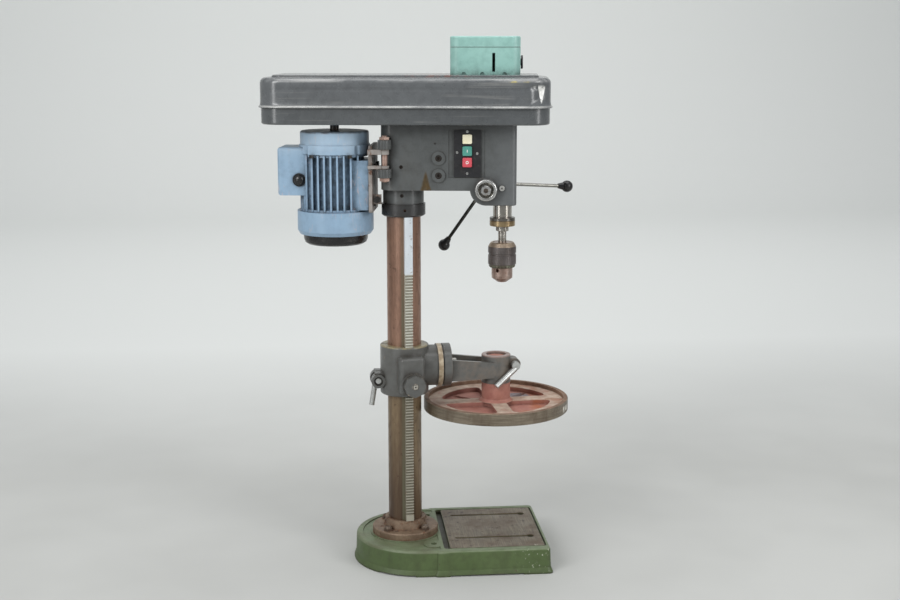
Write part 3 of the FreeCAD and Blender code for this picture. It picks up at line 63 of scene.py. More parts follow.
class Surface:
    """One node material, built up by short calls. turn lines its axes up with a turned body."""

    def __init__(self, name, turn=0.0):
        self.material = bpy.data.materials.new(name)
        self.material.use_nodes = True
        self.tree = self.material.node_tree
        self.tree.nodes.clear()
        self.shader = self.node("ShaderNodeBsdfPrincipled")
        output = self.node("ShaderNodeOutputMaterial")
        self.tree.links.new(self.shader.outputs["BSDF"], output.inputs["Surface"])
        self.place = self.node("ShaderNodeTexCoord").outputs["Object"]
        if turn:
            self.place = self.node("ShaderNodeMapping", Vector=self.place,
                                   Rotation=(0, 0, -turn)).outputs["Vector"]
        parts = self.node("ShaderNodeSeparateXYZ", Vector=self.place).outputs
        self.x, self.y, self.z = parts["X"], parts["Y"], parts["Z"]
        self.geometry = self.node("ShaderNodeNewGeometry")

    def node(self, kind, **inputs):
        made = self.tree.nodes.new(kind)
        for name, value in inputs.items():
            self.put(made.inputs[name.replace("_", " ")], value)
        return made

    def put(self, socket, value):
        if isinstance(value, bpy.types.NodeSocket):
            self.tree.links.new(value, socket)
        else:
            socket.default_value = value

    def math(self, operation, a, b=0.0, clamp=False):
        made = self.node("ShaderNodeMath")
        made.operation = operation
        made.use_clamp = clamp
        self.put(made.inputs[0], a)
        self.put(made.inputs[1], b)
        return made.outputs[0]

    def times(self, *values):
        product = values[0]
        for value in values[1:]:
            product = self.math("MULTIPLY", product, value)
        return product

    def plus(self, a, b):
        return self.math("ADD", a, b)

    def most(self, a, b):
        return self.math("MAXIMUM", a, b)

    def less(self, a):
        """One minus a."""
        return self.math("SUBTRACT", 1.0, a, clamp=True)

    def distance(self, a, b):
        """Length of the vector (a, b)."""
        return self.math("SQRT", self.plus(self.times(a, a), self.times(b, b)))

    def remap(self, value, low, high, to_low=0.0, to_high=1.0):
        return self.node("ShaderNodeMapRange", Value=value, From_Min=low, From_Max=high,
                         To_Min=to_low, To_Max=to_high).outputs["Result"]

    def between(self, value, low, high, soft=0.001):
        """1 where low < value < high, with soft ends."""
        return self.times(self.remap(value, low - soft, low + soft),
                          self.remap(value, high + soft, high - soft))

    def noise(self, scale, low=0.35, high=0.65, detail=3.0, stretch=(1, 1, 1), shift=0.0):
        vector = self.place
        if stretch != (1, 1, 1) or shift:
            vector = self.node("ShaderNodeMapping", Vector=vector, Scale=stretch,
                               Location=(shift, shift, shift)).outputs["Vector"]
        made = self.node("ShaderNodeTexNoise", Vector=vector, Scale=scale, Detail=detail,
                         Roughness=0.6)
        return self.remap(made.outputs["Fac"], low, high)

    def cells(self, scale, low, high, stretch=(1, 1, 1)):
        vector = self.node("ShaderNodeMapping", Vector=self.place, Scale=stretch).outputs["Vector"]
        made = self.node("ShaderNodeTexVoronoi", Vector=vector, Scale=scale)
        return self.remap(made.outputs["Distance"], low, high)

    def mix(self, amount, a, b):
        made = self.tree.nodes.new("ShaderNodeMix")
        made.data_type = "RGBA"
        self.put(made.inputs["Factor"], amount)
        self.put(made.inputs[6], a)
        self.put(made.inputs[7], b)
        return made.outputs[2]

    def blend(self, amount, a, b):
        return self.remap(amount, 0.0, 1.0, a, b)

    def edges(self, radius=0.0016, low=0.02, high=0.12):
        """1 along the part's edges, from how far a rounded normal leans off the real one."""
        bevel = self.node("ShaderNodeBevel", Radius=radius)
        bevel.samples = 4
        dot = self.tree.nodes.new("ShaderNodeVectorMath")
        dot.operation = "DOT_PRODUCT"
        self.put(dot.inputs[0], bevel.outputs["Normal"])
        self.put(dot.inputs[1], self.geometry.outputs["Normal"])
        return self.remap(self.less(dot.outputs["Value"]), low, high)

    def corners(self, distance=0.02, low=0.45, high=0.95):
        """1 down in corners and gaps, from ambient occlusion: where shade falls and grime stays."""
        shade = self.node("ShaderNodeAmbientOcclusion", Distance=distance)
        shade.samples = 4
        return self.less(self.remap(shade.outputs["AO"], low, high))

    def scratches(self, scale=40, along=(0.05, 1, 1), keep=0.03):
        """Fine lines that run along one direction."""
        line = self.noise(scale, 0.5, 0.5 + keep, 2.0, along, 3.1)
        other = self.less(self.noise(scale, 0.5 - keep, 0.5, 2.0, along, 3.1))
        patch = self.noise(scale * 0.3, 0.5, 0.62, 2.0, (1, 1, 1), 1.7)
        return self.times(self.less(self.plus(line, other)), patch)

    def finish(self, colour, rough, metal=0.0, height=None, depth=0.0005, strength=0.5, **extra):
        self.put(self.shader.inputs["Base Color"], colour)
        self.put(self.shader.inputs["Roughness"], rough)
        self.put(self.shader.inputs["Metallic"], metal)
        for name, value in extra.items():
            self.put(self.shader.inputs[name.replace("_", " ")], value)
        if height is not None:
            bump = self.node("ShaderNodeBump", Height=height, Distance=depth, Strength=strength)
            self.put(self.shader.inputs["Normal"], bump.outputs["Normal"])
        return self.material


def aged_paint(s, base, light, dark, under, gloss=0.32, chip=0.70, wear=1.0, streak=0.45,
               grain=260, coat=0.0, over=None):
    """Paint with blotches, vertical grime runs, grime and painted shade in corners, chips and bare edges.
    over(s, colour) adds local marks.
    """
    colour = s.mix(s.noise(7, 0.35, 0.7), base, light)
    colour = s.mix(s.times(s.noise(55, 0.45, 0.75, 5.0), 0.5), colour, dark)
    runs = s.times(s.noise(28, 0.52, 0.78, 4.0, (1, 1, 0.12)), streak)
    colour = s.mix(runs, colour, dark)
    # grime and painted shade: darker brown where corners and gaps are occluded
    dirt_and_shade = s.times(s.corners(), 0.75)
    colour = s.mix(dirt_and_shade, colour, s.mix(s.noise(90), dark, rgb(38, 32, 26)))
    if over:
        colour = over(s, colour)
    chips = s.noise(75, chip, chip + 0.015, 6.0, shift=2.3)
    bare = s.times(s.edges(), s.noise(45, 0.42, 0.6, 4.0), wear)
    loss = s.math("MAXIMUM", chips, bare, clamp=True)
    colour = s.mix(loss, colour, s.mix(s.noise(160), under, dark))
    rough = s.blend(s.noise(35, 0.3, 0.7), gloss, gloss + 0.16)
    rough = s.blend(loss, rough, 0.6)
    height = s.plus(s.times(s.noise(grain, 0.2, 0.8, 2.0), 0.35), s.times(s.less(loss), 0.65))
    return s.finish(colour, rough, 0.0, height, 0.0004, 0.45, Coat_Weight=coat, Coat_Roughness=0.12)


def aged_metal(s, base, light, stain, rust, gloss=0.3, rusty=0.55, metal=0.9, lines=(0.05, 0.05, 1),
               line_scale=420, depth=0.25, over=None):
    """Bare metal with machining lines, tarnish and rust that takes the shine off, and grime with painted
    shade in its corners.
    """
    grooves = s.noise(line_scale, 0.3, 0.7, 2.0, lines)
    colour = s.mix(s.times(grooves, 0.5), base, light)
    colour = s.mix(s.times(s.noise(32, 0.4, 0.7, 5.0), 0.8), colour, stain)
    if over:
        colour = over(s, colour)
    spots = s.noise(58, rusty, rusty + 0.12, 7.0, shift=4.4)
    # grime and painted shade: rust-dark colour where corners and gaps are occluded
    dirt_and_shade = s.times(s.corners(0.008), 0.6)
    colour = s.mix(s.most(spots, dirt_and_shade), colour, s.mix(s.noise(190), rust, rgb(40, 30, 25)))
    rough = s.blend(spots, s.blend(grooves, gloss, gloss + 0.12), 0.78)
    pits = s.times(s.noise(300, 0.2, 0.8), s.plus(s.times(spots, 0.7), 0.1))
    height = s.plus(s.times(grooves, depth), pits)
    return s.finish(colour, rough, s.blend(spots, metal, metal * 0.35), height, 0.0003, 0.5)


def plastic(s, base, light, dust, gloss=0.3, grain=320):
    """Moulded plastic with handling shine, fine grain and dust in its corners."""
    colour = s.mix(s.noise(40, 0.35, 0.7, 4.0), base, light)
    colour = s.mix(s.times(s.noise(120, 0.55, 0.75, 5.0), 0.35), colour, dust)
    colour = s.mix(s.times(s.edges(0.001), s.noise(60), 0.4), colour, dust)
    rough = s.blend(s.noise(50, 0.3, 0.7, 4.0), gloss, gloss + 0.2)
    return s.finish(colour, rough, 0.0, s.noise(grain, 0.2, 0.8, 2.0), 0.0002, 0.25)


# ---- local marks -------------------------------------------------------------------------------
def base_marks(s, colour):
    """Top faces painted paler grey as light on them, a machined pad between the grooves, oil on the rear
    top, pale chips at the near front corner.
    """
    # painted light: the top faces made paler grey than the green sides
    top = s.remap(s.z, 0.0515, 0.0535)
    rear = s.times(s.remap(s.x, 0.088, 0.07), s.remap(s.z, 0.049, 0.0515))
    grey = s.mix(s.noise(34, 0.35, 0.65, 5.0), rgb(104, 118, 88), rgb(128, 138, 112))
    colour = s.mix(s.times(s.most(top, rear), 0.8), colour, grey)
    pad = s.times(s.between(s.x, 0.0892, 0.2938), s.between(s.y, -0.1243, 0.1248), top)
    lines = s.noise(520, 0.3, 0.7, 2.0, (1, 0.04, 1))
    iron = s.mix(lines, rgb(92, 84, 70), rgb(128, 118, 102))
    iron = s.mix(s.noise(22, 0.42, 0.66, 6.0), iron, rgb(92, 76, 60))
    iron = s.mix(s.noise(70, 0.6, 0.68, 6.0), iron, rgb(48, 38, 31))
    colour = s.mix(pad, colour, iron)
    groove = s.times(s.between(s.x, 0.0765, 0.2975), s.between(s.y, -0.1305, 0.1305),
                     s.remap(s.z, 0.0528, 0.0518), s.remap(s.z, 0.044, 0.0455))
    colour = s.mix(s.times(groove, 0.85), colour, rgb(50, 46, 32))
    oil = s.times(s.remap(s.x, 0.095, 0.03), s.most(top, rear), s.noise(16, 0.42, 0.66, 5.0))
    colour = s.mix(s.times(oil, 0.6), colour, rgb(72, 68, 44))
    pale = s.times(s.remap(s.x, 0.22, 0.3), s.remap(s.y, -0.08, -0.135), s.noise(120, 0.64, 0.66, 5.0))
    return s.mix(pale, colour, rgb(186, 188, 172))


def guard_marks(s, colour):
    """Darker tray, painted highlights along the seam, the top edge and the raised panel's edge, a painted
    highlight on the dented corner, scratches and stains.
    """
    tray = s.remap(s.z, 0.9912, 0.9904)
    colour = s.mix(s.times(tray, 0.35), colour, rgb(58, 62, 62))
    # painted highlight along the flared lip above the seam
    seam = s.times(s.between(s.z, 0.9925, 0.9962, 0.001), s.noise(30, 0.3, 0.55, 4.0, (0.6, 1, 1)))
    colour = s.mix(s.times(seam, 0.6), colour, rgb(206, 206, 202))
    # painted highlight along the rounded top edge
    brow_highlight = s.times(s.between(s.z, 1.0440, 1.0500, 0.0018), s.noise(26, 0.46, 0.62, 5.0, (0.22, 1, 1)))
    colour = s.mix(s.times(brow_highlight, 0.55), colour, rgb(190, 190, 188))
    # painted highlight along the raised panel's edge
    rim = s.times(s.remap(s.z, 1.0535, 1.0565), s.remap(s.edges(0.0022), 0.2, 0.8),
                  s.noise(40, 0.35, 0.55))
    colour = s.mix(s.times(rim, 0.7), colour, rgb(214, 214, 210))
    colour = s.mix(s.times(s.scratches(34, (0.04, 1, 1.6)), 0.3), colour, rgb(150, 149, 145))
    ochre = s.times(s.between(s.x, 0.225, 0.262, 0.006), s.between(s.z, 1.0435, 1.0465, 0.001),
                    s.noise(70, 0.4, 0.6, 4.0))
    colour = s.mix(ochre, colour, rgb(186, 172, 104))
    red = s.times(s.between(s.x, 0.02, 0.13, 0.02), s.remap(s.z, 1.0525, 1.0535),
                  s.noise(60, 0.5, 0.6, 5.0))
    colour = s.mix(s.times(red, 0.6), colour, rgb(120, 76, 66))
    # painted highlight: a white wedge on the wall of the dented front corner
    half = s.remap(s.z, 1.004, 1.032, 0.0018, 0.0075)
    aside = s.math("ABSOLUTE", s.plus(s.x, -0.2895))
    dent_highlight = s.times(s.remap(s.math("SUBTRACT", half, aside), 0.0, 0.0012), s.remap(s.y, -0.06, -0.08),
                     s.between(s.z, 1.003, 1.036, 0.003), s.noise(150, 0.36, 0.44, 5.0))
    return s.mix(dent_highlight, colour, rgb(232, 232, 228))


def head_marks(s, colour):
    """Brown varnish runs at the rear, the front end painted paler as light on its rounded front corner,
    and an olive stain.
    """
    runs = s.times(s.remap(s.x, 0.045, -0.01), s.remap(s.z, 0.93, 0.83),
                   s.noise(26, 0.5, 0.65, 5.0, (1, 1, 0.3)))
    colour = s.mix(s.times(runs, 0.5), colour, rgb(66, 56, 44))
    # painted light: paler towards the front end, where the rounded front corner catches the light
    colour = s.mix(s.times(s.remap(s.x, 0.17, 0.25), 0.5), colour, rgb(112, 115, 117))
    lean = s.plus(s.times(s.remap(s.z, 0.819, 0.863), 0.011), s.times(s.noise(60, 0.2, 0.8), 0.002))
    drip = s.times(s.remap(s.math("SUBTRACT", s.x, lean), 0.0375, 0.0415),
                   s.remap(s.plus(s.x, lean), 0.0650, 0.0620), s.remap(s.y, -0.05, -0.055),
                   s.remap(s.z, 0.868, 0.850), s.remap(s.z, 0.79, 0.812), s.noise(70, 0.2, 0.4, 4.0))
    return s.mix(s.times(drip, 0.95), colour, s.mix(s.noise(50), rgb(56, 42, 14), rgb(84, 64, 26)))


def motor_marks(s, colour):
    """Pinkish rubs on the fins and the cowl, the upper part painted paler as light on it, and a dark
    brown line.
    """
    rubs = s.scratches(60, (1, 1, 0.2), 0.02)
    colour = s.mix(s.times(rubs, 0.6), colour, rgb(206, 182, 176))
    # painted light: the motor's upper part made paler
    colour = s.mix(s.times(s.remap(s.z, 0.885, 0.915), 0.55), colour, rgb(184, 206, 224))
    line = s.times(s.between(s.z, 0.9365, 0.9405, 0.0008), s.noise(40, 0.35, 0.6))
    return s.mix(s.times(line, 0.6), colour, rgb(96, 80, 66))


def box_marks(s, colour):
    """Dark joint between the control box and its lid."""
    joint = s.between(s.z, 1.1130, 1.1145, 0.0006)
    return s.mix(s.times(joint, 0.8), colour, rgb(52, 72, 66))


def casting_marks(s, colour):
    """Machined lands of the tilt joint left bare, and a yellowish rim round the sleeve's top."""
    dz = s.math("SUBTRACT", s.z, ARM_HEIGHT)
    turn = math.cos(ARM_YAW), math.sin(ARM_YAW)
    along = s.plus(s.times(s.x, turn[0]), s.times(s.y, turn[1]))
    across = s.math("SUBTRACT", s.times(s.y, turn[0]), s.times(s.x, turn[1]))
    out = s.distance(across, dz)
    land = s.times(s.between(along, 0.0695, 0.0812, 0.0006), s.remap(out, 0.0440, 0.0450))
    metal = s.mix(s.noise(60, 0.35, 0.65, 5.0), rgb(196, 182, 158), rgb(140, 122, 98))
    colour = s.mix(s.times(land, s.noise(30, 0.15, 0.3)), colour, metal)
    lip = s.times(s.remap(s.z, 0.4765, 0.4785), s.remap(along, 0.05, 0.045), s.noise(50, 0.3, 0.5, 4.0))
    colour = s.mix(s.times(lip, 0.7), colour, rgb(158, 146, 108))
    worn = s.times(s.remap(along, 0.085, 0.13), s.noise(40, 0.42, 0.62, 5.0))
    colour = s.mix(s.times(worn, 0.5), colour, rgb(124, 112, 100))
    boss = s.times(s.remap(along, 0.168, 0.172), s.remap(s.z, 0.446, 0.449))
    return s.mix(s.times(boss, 0.8), colour, rgb(150, 126, 118))


def cap_marks(s, colour):
    """Dull dish inside the spring cap's bright ring."""
    dx, dz = s.math("SUBTRACT", s.x, FEED[0]), s.math("SUBTRACT", s.z, FEED[1])
    out = s.distance(dx, dz)
    dish = s.times(s.between(out, 0.0105, 0.0166, 0.0004), s.remap(s.y, -0.0802, -0.0792))
    return s.mix(dish, colour, s.mix(s.noise(60), rgb(96, 98, 94), rgb(124, 126, 120)))


def screw_marks(s, colour):
    """The quill's guide screw is bright; the other head screws stay black."""
    guide = s.times(s.between(s.x, 0.203, 0.218, 0.001), s.between(s.z, 0.818, 0.832, 0.001),
                    s.remap(s.y, -0.055, -0.057))
    return s.mix(guide, colour, s.mix(s.noise(90), rgb(188, 188, 182), rgb(226, 226, 222)))


def spoke_marks(s, colour):
    """Handle rods tarnished grey, with painted shade making the lower one nearly black; other machined
    steel is left alone.
    """
    rods = s.remap(s.y, 0.086, 0.092)
    grey = s.mix(s.noise(80), rgb(112, 112, 108), rgb(142, 142, 136))
    colour = s.mix(s.times(rods, 0.85), colour, grey)
    # painted shade: the lower handle rod darkened nearly to black
    lower = s.times(rods, s.remap(s.z, FEED[1] - 0.004, FEED[1] - 0.012),
                    s.remap(s.x, FEED[0] + 0.02, FEED[0]))
    return s.mix(lower, colour, s.mix(s.noise(90), rgb(52, 54, 50), rgb(76, 78, 74)))


def sleeve_marks(s, colour):
    """Brown bevel above the knurling and grey-green key teeth below it."""
    bevel = s.mix(s.noise(70), rgb(150, 132, 114), rgb(176, 158, 138))
    teeth = s.mix(s.noise(90), rgb(128, 130, 114), rgb(98, 92, 80))
    colour = s.mix(s.remap(s.z, 0.6945, 0.6960), colour, bevel)
    return s.mix(s.remap(s.z, 0.6575, 0.6565), colour, teeth)


def collar_marks(s, colour):
    """Dark steel rim over the brass-coloured band."""
    rim = s.mix(s.noise(70), rgb(96, 92, 86), rgb(128, 124, 118))
    return s.mix(s.remap(s.z, 0.7505, 0.7515), colour, rim)


def table_material():
    """Machined brown-grey rim, pinkish worn ribs inside it, red primer in the pockets with painted shade
    in their corners, and painted glints on the rim's near side.
    """
    s = Surface("table_iron_worn", ARM_YAW)
    dx = s.math("SUBTRACT", s.x, TABLE_X)
    radius = s.distance(dx, s.y)
    primer = s.mix(s.noise(30, 0.35, 0.68, 5.0), rgb(158, 103, 91), rgb(186, 134, 120))
    orange = s.times(s.remap(dx, -0.01, 0.07), s.noise(20, 0.42, 0.6, 6.0))
    primer = s.mix(s.times(orange, 0.8), primer, rgb(168, 96, 56))
    off_patch = s.distance(s.plus(dx, -0.062), s.plus(s.y, -0.062))
    patch = s.times(s.remap(off_patch, 0.03, 0.024), s.noise(50, 0.3, 0.45, 5.0))
    primer = s.mix(s.times(patch, 0.8), primer, rgb(118, 122, 128))
    # painted shade: darker red primer in the pockets' corners
    primer = s.mix(s.times(s.corners(0.02), 0.6), primer, rgb(92, 56, 48))
    worn = s.mix(s.noise(45, 0.35, 0.65, 6.0), rgb(196, 178, 160), rgb(162, 136, 120))
    browned = s.times(s.remap(dx, 0.0, 0.09), s.noise(34, 0.45, 0.6, 6.0), 0.7)
    worn = s.mix(browned, worn, rgb(150, 104, 78))
    rim = s.mix(s.noise(380, 0.3, 0.7, 2.0, (0.05, 0.05, 1)), rgb(112, 102, 88), rgb(144, 133, 116))
    rim = s.mix(s.noise(26, 0.45, 0.7, 6.0, (1, 1, 0.4)), rim, rgb(94, 80, 66))
    outer = s.remap(radius, 0.1574, 0.1582)
    lip = s.remap(radius, 0.1482, 0.1490)
    band = s.times(s.between(s.z, 0.3450, 0.3475, 0.0006), s.remap(radius, 0.036, 0.04))
    colour = s.mix(s.times(band, s.noise(50, 0.2, 0.5, 5.0)), primer, worn)
    colour = s.mix(lip, colour, s.mix(s.noise(40, 0.3, 0.6, 5.0), rgb(138, 112, 92), rgb(108, 82, 64)))
    under = s.remap(s.z, 0.3300, 0.3286)
    colour = s.mix(s.most(outer, under), colour, rim)
    # painted reflections: two thin pale vertical glints on the machined rim's near side
    marks = s.most(s.between(dx, 0.131, 0.136, 0.001), s.between(dx, 0.139, 0.145, 0.001))
    marks = s.times(marks, s.remap(s.y, -0.02, -0.04), s.between(s.z, 0.334, 0.346, 0.001),
                    outer, s.noise(200, 0.42, 0.46))
    colour = s.mix(marks, colour, rgb(230, 226, 216))
    bright = s.times(s.edges(0.0012), s.noise(60, 0.4, 0.6))
    colour = s.mix(s.times(bright, 0.6), colour, rgb(186, 168, 150))
    machined = s.most(outer, under)
    rough = s.blend(machined, s.blend(s.noise(60), 0.62, 0.8), 0.4)
    height = s.plus(s.noise(240, 0.2, 0.8, 3.0), s.times(s.noise(60, 0.3, 0.7, 6.0), 1.5))
    return s.finish(colour, rough, s.times(machined, 0.6), height, 0.0006, 0.5)


def column_material():
    """Rusty ground tube: dark near the base, golden under the bracket, pinkish brown above it."""
    s = Surface("column_rusty_steel")
    streaks = s.noise(46, 0.34, 0.68, 6.0, (1, 1, 0.045))
    upper = s.mix(streaks, rgb(118, 88, 72), rgb(164, 128, 108))
    lower = s.mix(streaks, rgb(88, 72, 54), rgb(146, 126, 98))
    colour = s.mix(s.remap(s.z, 0.36, 0.50), lower, upper)
    foot = s.times(s.remap(s.z, 0.30, 0.10), 0.75)
    colour = s.mix(foot, colour, s.mix(streaks, rgb(64, 46, 34), rgb(96, 74, 56)))
    fine = s.noise(150, 0.4, 0.7, 6.0, (1, 1, 0.3))
    colour = s.mix(s.times(fine, 0.4), colour, rgb(84, 60, 46))
    bright = s.noise(20, 0.56, 0.72, 4.0, (1, 1, 0.08), shift=1.3)
    colour = s.mix(s.times(bright, 0.6), colour, rgb(196, 176, 154))
    angle = s.math("ARCTAN2", s.y, s.x)
    # olive stripe beside the rack: a less rusted band, with the rack's shadow painted in
    olive = s.times(s.between(angle, -1.80, -1.62, 0.05), s.noise(18, 0.25, 0.5, 4.0, (1, 1, 0.1)))
    colour = s.mix(s.times(olive, 0.75), colour, rgb(104, 104, 84))
    spots = s.noise(85, 0.62, 0.7, 7.0)
    colour = s.mix(s.times(spots, 0.7), colour, rgb(66, 44, 34))
    rough = s.blend(s.most(spots, fine), 0.30, 0.56)
    height = s.plus(s.times(streaks, 0.4), s.times(spots, 0.6))
    return s.finish(colour, rough, s.blend(bright, 0.35, 0.75), height, 0.0003, 0.4)


def rack_material():
    """Milled rack: pale tooth faces, darker grey-green in the gaps, smooth blue-grey above."""
    s = Surface("rack_milled_steel", RACK_YAW)
    teeth = s.remap(s.z, 0.640, 0.636)
    deep = s.remap(s.x, 0.0437, 0.0428)
    colour = s.mix(s.noise(40, 0.3, 0.7, 5.0, (1, 1, 0.2)), rgb(198, 206, 212), rgb(222, 228, 232))
    toothed = s.mix(s.noise(26, 0.35, 0.7, 5.0, (1, 1, 0.4)), rgb(196, 196, 184), rgb(222, 222, 212))
    low = s.times(s.remap(s.z, 0.42, 0.36), 0.55)
    toothed = s.mix(low, toothed, rgb(132, 122, 100))
    colour = s.mix(teeth, colour, toothed)
    gap = s.mix(low, rgb(172, 168, 154), rgb(96, 88, 68))
    colour = s.mix(s.times(teeth, deep), colour, gap)
    colour = s.mix(s.times(s.noise(90, 0.58, 0.68, 6.0), 0.6), colour, rgb(126, 104, 84))
    rough = s.blend(s.noise(60), 0.4, 0.6)
    return s.finish(colour, rough, 0.25, s.noise(200), 0.0002, 0.3)


# slot: material name, turn, four colours (base, light, dark, bare), other settings
PAINTS = {
    "green_paint": ("green_paint_chipped", 0.0,
                    ((71, 89, 48), (85, 102, 62), (56, 62, 36), (96, 82, 58)),
                    dict(gloss=0.42, chip=0.70, wear=0.9, streak=0.5, over=base_marks)),
    "guard_grey": ("guard_grey_gloss", HEAD_YAW,
                   ((88, 91, 93), (98, 101, 103), (68, 70, 72), (186, 186, 182)),
                   dict(gloss=0.2, chip=0.75, wear=0.6, streak=0.1, grain=500, coat=0.5,
                        over=guard_marks)),
    "head_grey": ("head_grey_hammered", HEAD_YAW,
                  ((80, 83, 83), (90, 93, 93), (60, 61, 60), (116, 112, 104)),
                  dict(gloss=0.34, chip=0.75, wear=0.6, streak=0.2, grain=190, coat=0.2,
                       over=head_marks)),
    "bracket_grey": ("bracket_grey_gloss", 0.0,
                     ((86, 87, 85), (100, 100, 97), (62, 58, 52), (140, 126, 108)),
                     dict(gloss=0.3, chip=0.70, wear=0.9, streak=0.35, grain=210, coat=0.25,
                          over=casting_marks)),
    "sea_green": ("sea_green_enamel", HEAD_YAW,
                  ((146, 190, 181), (160, 202, 194), (116, 156, 148), (86, 110, 100)),
                  dict(gloss=0.34, chip=0.75, wear=0.5, streak=0.2, grain=420, over=box_marks)),
    "motor_blue": ("motor_blue_enamel", HEAD_YAW,
                   ((138, 166, 190), (154, 182, 206), (118, 140, 162), (112, 118, 122)),
                   dict(gloss=0.34, chip=0.73, wear=0.5, streak=0.3, grain=300, over=motor_marks)),
    "black_casting": ("black_worn_casting", 0.0,
                      ((44, 44, 44), (56, 56, 56), (36, 33, 30), (112, 100, 86)),
                      dict(gloss=0.22, chip=0.73, wear=0.6, streak=0.2, grain=300)),
    "worn_plate": ("worn_plate_casting", HEAD_YAW,
                   ((132, 130, 128), (164, 158, 152), (98, 78, 66), (126, 90, 70)),
                   dict(gloss=0.5, chip=0.60, wear=1.0, streak=0.5, grain=180)),
}

# slot: material name, turn, four colours (base, light, stain, rust), other settings
METALS = {
    "raw_casting": ("rusted_brown_casting", 0.0,
                    ((124, 104, 86), (156, 136, 114), (96, 76, 60), (120, 80, 54)),
                    dict(gloss=0.45, rusty=0.54, metal=0.3, lines=NO_LINES, line_scale=160, depth=0.5)),
    "rusty_bolts": ("rusted_dark_bolts", 0.0,
                    ((104, 90, 78), (134, 118, 104), (80, 66, 54), (104, 70, 50)),
                    dict(gloss=0.45, rusty=0.55, metal=0.4, lines=NO_LINES, line_scale=200, depth=0.4)),
    "machined_steel": ("turned_steel", HEAD_YAW,
                       ((196, 193, 186), (222, 219, 212), (160, 152, 140), (120, 92, 70)),
                       dict(gloss=0.16, rusty=0.70, metal=0.95, depth=0.1, over=spoke_marks)),
    "zinc_steel": ("zinc_plated_steel", 0.0,
                   ((196, 198, 196), (224, 226, 224), (158, 158, 154), (120, 98, 76)),
                   dict(gloss=0.28, rusty=0.72, metal=0.8, lines=NO_LINES, line_scale=260)),
    "chrome_cap": ("scuffed_chrome", HEAD_YAW,
                   ((206, 206, 204), (232, 232, 230), (150, 148, 144), (96, 80, 66)),
                   dict(gloss=0.18, rusty=0.72, metal=0.85, lines=NO_LINES, line_scale=300,
                        over=cap_marks)),
    "brown_brass": ("tarnished_brass", HEAD_YAW,
                    ((156, 136, 104), (186, 164, 128), (112, 90, 62), (80, 62, 44)),
                    dict(gloss=0.22, rusty=0.66, metal=0.85, over=collar_marks)),
    "rusty_jaw_steel": ("pinkish_rusted_steel", HEAD_YAW,
                        ((170, 150, 140), (204, 186, 176), (146, 116, 102), (120, 82, 64)),
                        dict(gloss=0.26, rusty=0.56, metal=0.75)),
    "chuck_steel": ("dark_chuck_steel", HEAD_YAW,
                    ((104, 98, 97), (130, 124, 121), (86, 78, 74), (96, 74, 60)),
                    dict(gloss=0.3, rusty=0.64, metal=0.7, over=sleeve_marks)),
    "rusty_rod": ("salmon_rusted_rod", HEAD_YAW,
                  ((164, 136, 124), (196, 174, 162), (142, 112, 98), (112, 78, 62)),
                  dict(gloss=0.36, rusty=0.58, metal=0.5)),
    "pulley_aluminium": ("turned_aluminium", HEAD_YAW,
                         ((176, 176, 174), (206, 206, 204), (146, 146, 142), (70, 66, 60)),
                         dict(gloss=0.3, rusty=0.72, metal=0.9)),
    "black_screws": ("blackened_steel", HEAD_YAW,
                     ((58, 57, 56), (84, 82, 80), (44, 42, 40), (84, 62, 46)),
                     dict(gloss=0.32, rusty=0.68, metal=0.7, lines=NO_LINES, line_scale=260,
                          over=screw_marks)),
}

# slot: material name, turn, three colours (base, light, dust), other settings
PLASTICS = {
    "black_plastic": ("black_gloss_plastic", 0.0,
                      ((20, 20, 21), (32, 32, 33), (96, 90, 84)), dict(gloss=0.16)),
    "black_panel": ("black_matte_panel", 0.0,
                    ((22, 22, 25), (32, 32, 36), (84, 80, 78)), dict(gloss=0.42)),
    "yellow_lens": ("cream_yellow_lens", 0.0,
                    ((250, 240, 200), (255, 250, 226), (214, 196, 140)), dict(gloss=0.2)),
    "green_button": ("green_push_button", 0.0,
                     ((70, 146, 130), (90, 160, 146), (48, 112, 98)), dict(gloss=0.3)),
    "red_button": ("red_push_button", 0.0,
                   ((204, 72, 84), (216, 92, 102), (160, 48, 58)), dict(gloss=0.3)),
    "belt_rubber": ("dusty_belt_rubber", HEAD_YAW,
                    ((34, 34, 34), (48, 47, 46), (96, 90, 84)), dict(gloss=0.6)),
    "button_mark": ("white_button_mark", 0.0,
                    ((236, 236, 232), (246, 246, 242), (190, 188, 182)), dict(gloss=0.4)),
}


def build_materials():
    """One material for each slot of the record, and one for the marks on the buttons."""
    made = {}
    for finish, table in ((aged_paint, PAINTS), (aged_metal, METALS), (plastic, PLASTICS)):
        for slot, (name, turn, shades, settings) in table.items():
            made[slot] = finish(Surface(name, turn), *[rgb(*shade) for shade in shades], **settings)
    made["column_steel"] = column_material()
    made["rack_steel"] = rack_material()
    made["table_iron"] = table_material()
    return made


MATERIALS = build_materials()
SLOTS = {entry["node"]: entry["material_slot"] for entry in frame["record"]["subparts"]}


def dress(piece, slot):
    piece.data.materials.clear()
    piece.data.materials.append(MATERIALS[slot])


for name, piece in NODES.items():
    dress(piece, SLOTS[name])


# ---- pieces made here --------------------------------------------------------------------------
def place(name, mesh, body, slot, angle=35):
    """Object from a mesh drawn in the head's own axes, in millimetres."""
    mesh.transform(Matrix.Rotation(HEAD_YAW, 4, "Z") @ Matrix.Scale(0.001, 4))
    for polygon in mesh.polygons:
        polygon.use_smooth = True
    mesh.set_sharp_from_angle(angle=math.radians(angle))
    piece = bpy.data.objects.new(name, mesh)
    bpy.context.scene.collection.objects.link(piece)
    dress(piece, slot)
    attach(piece, body)
    return piece


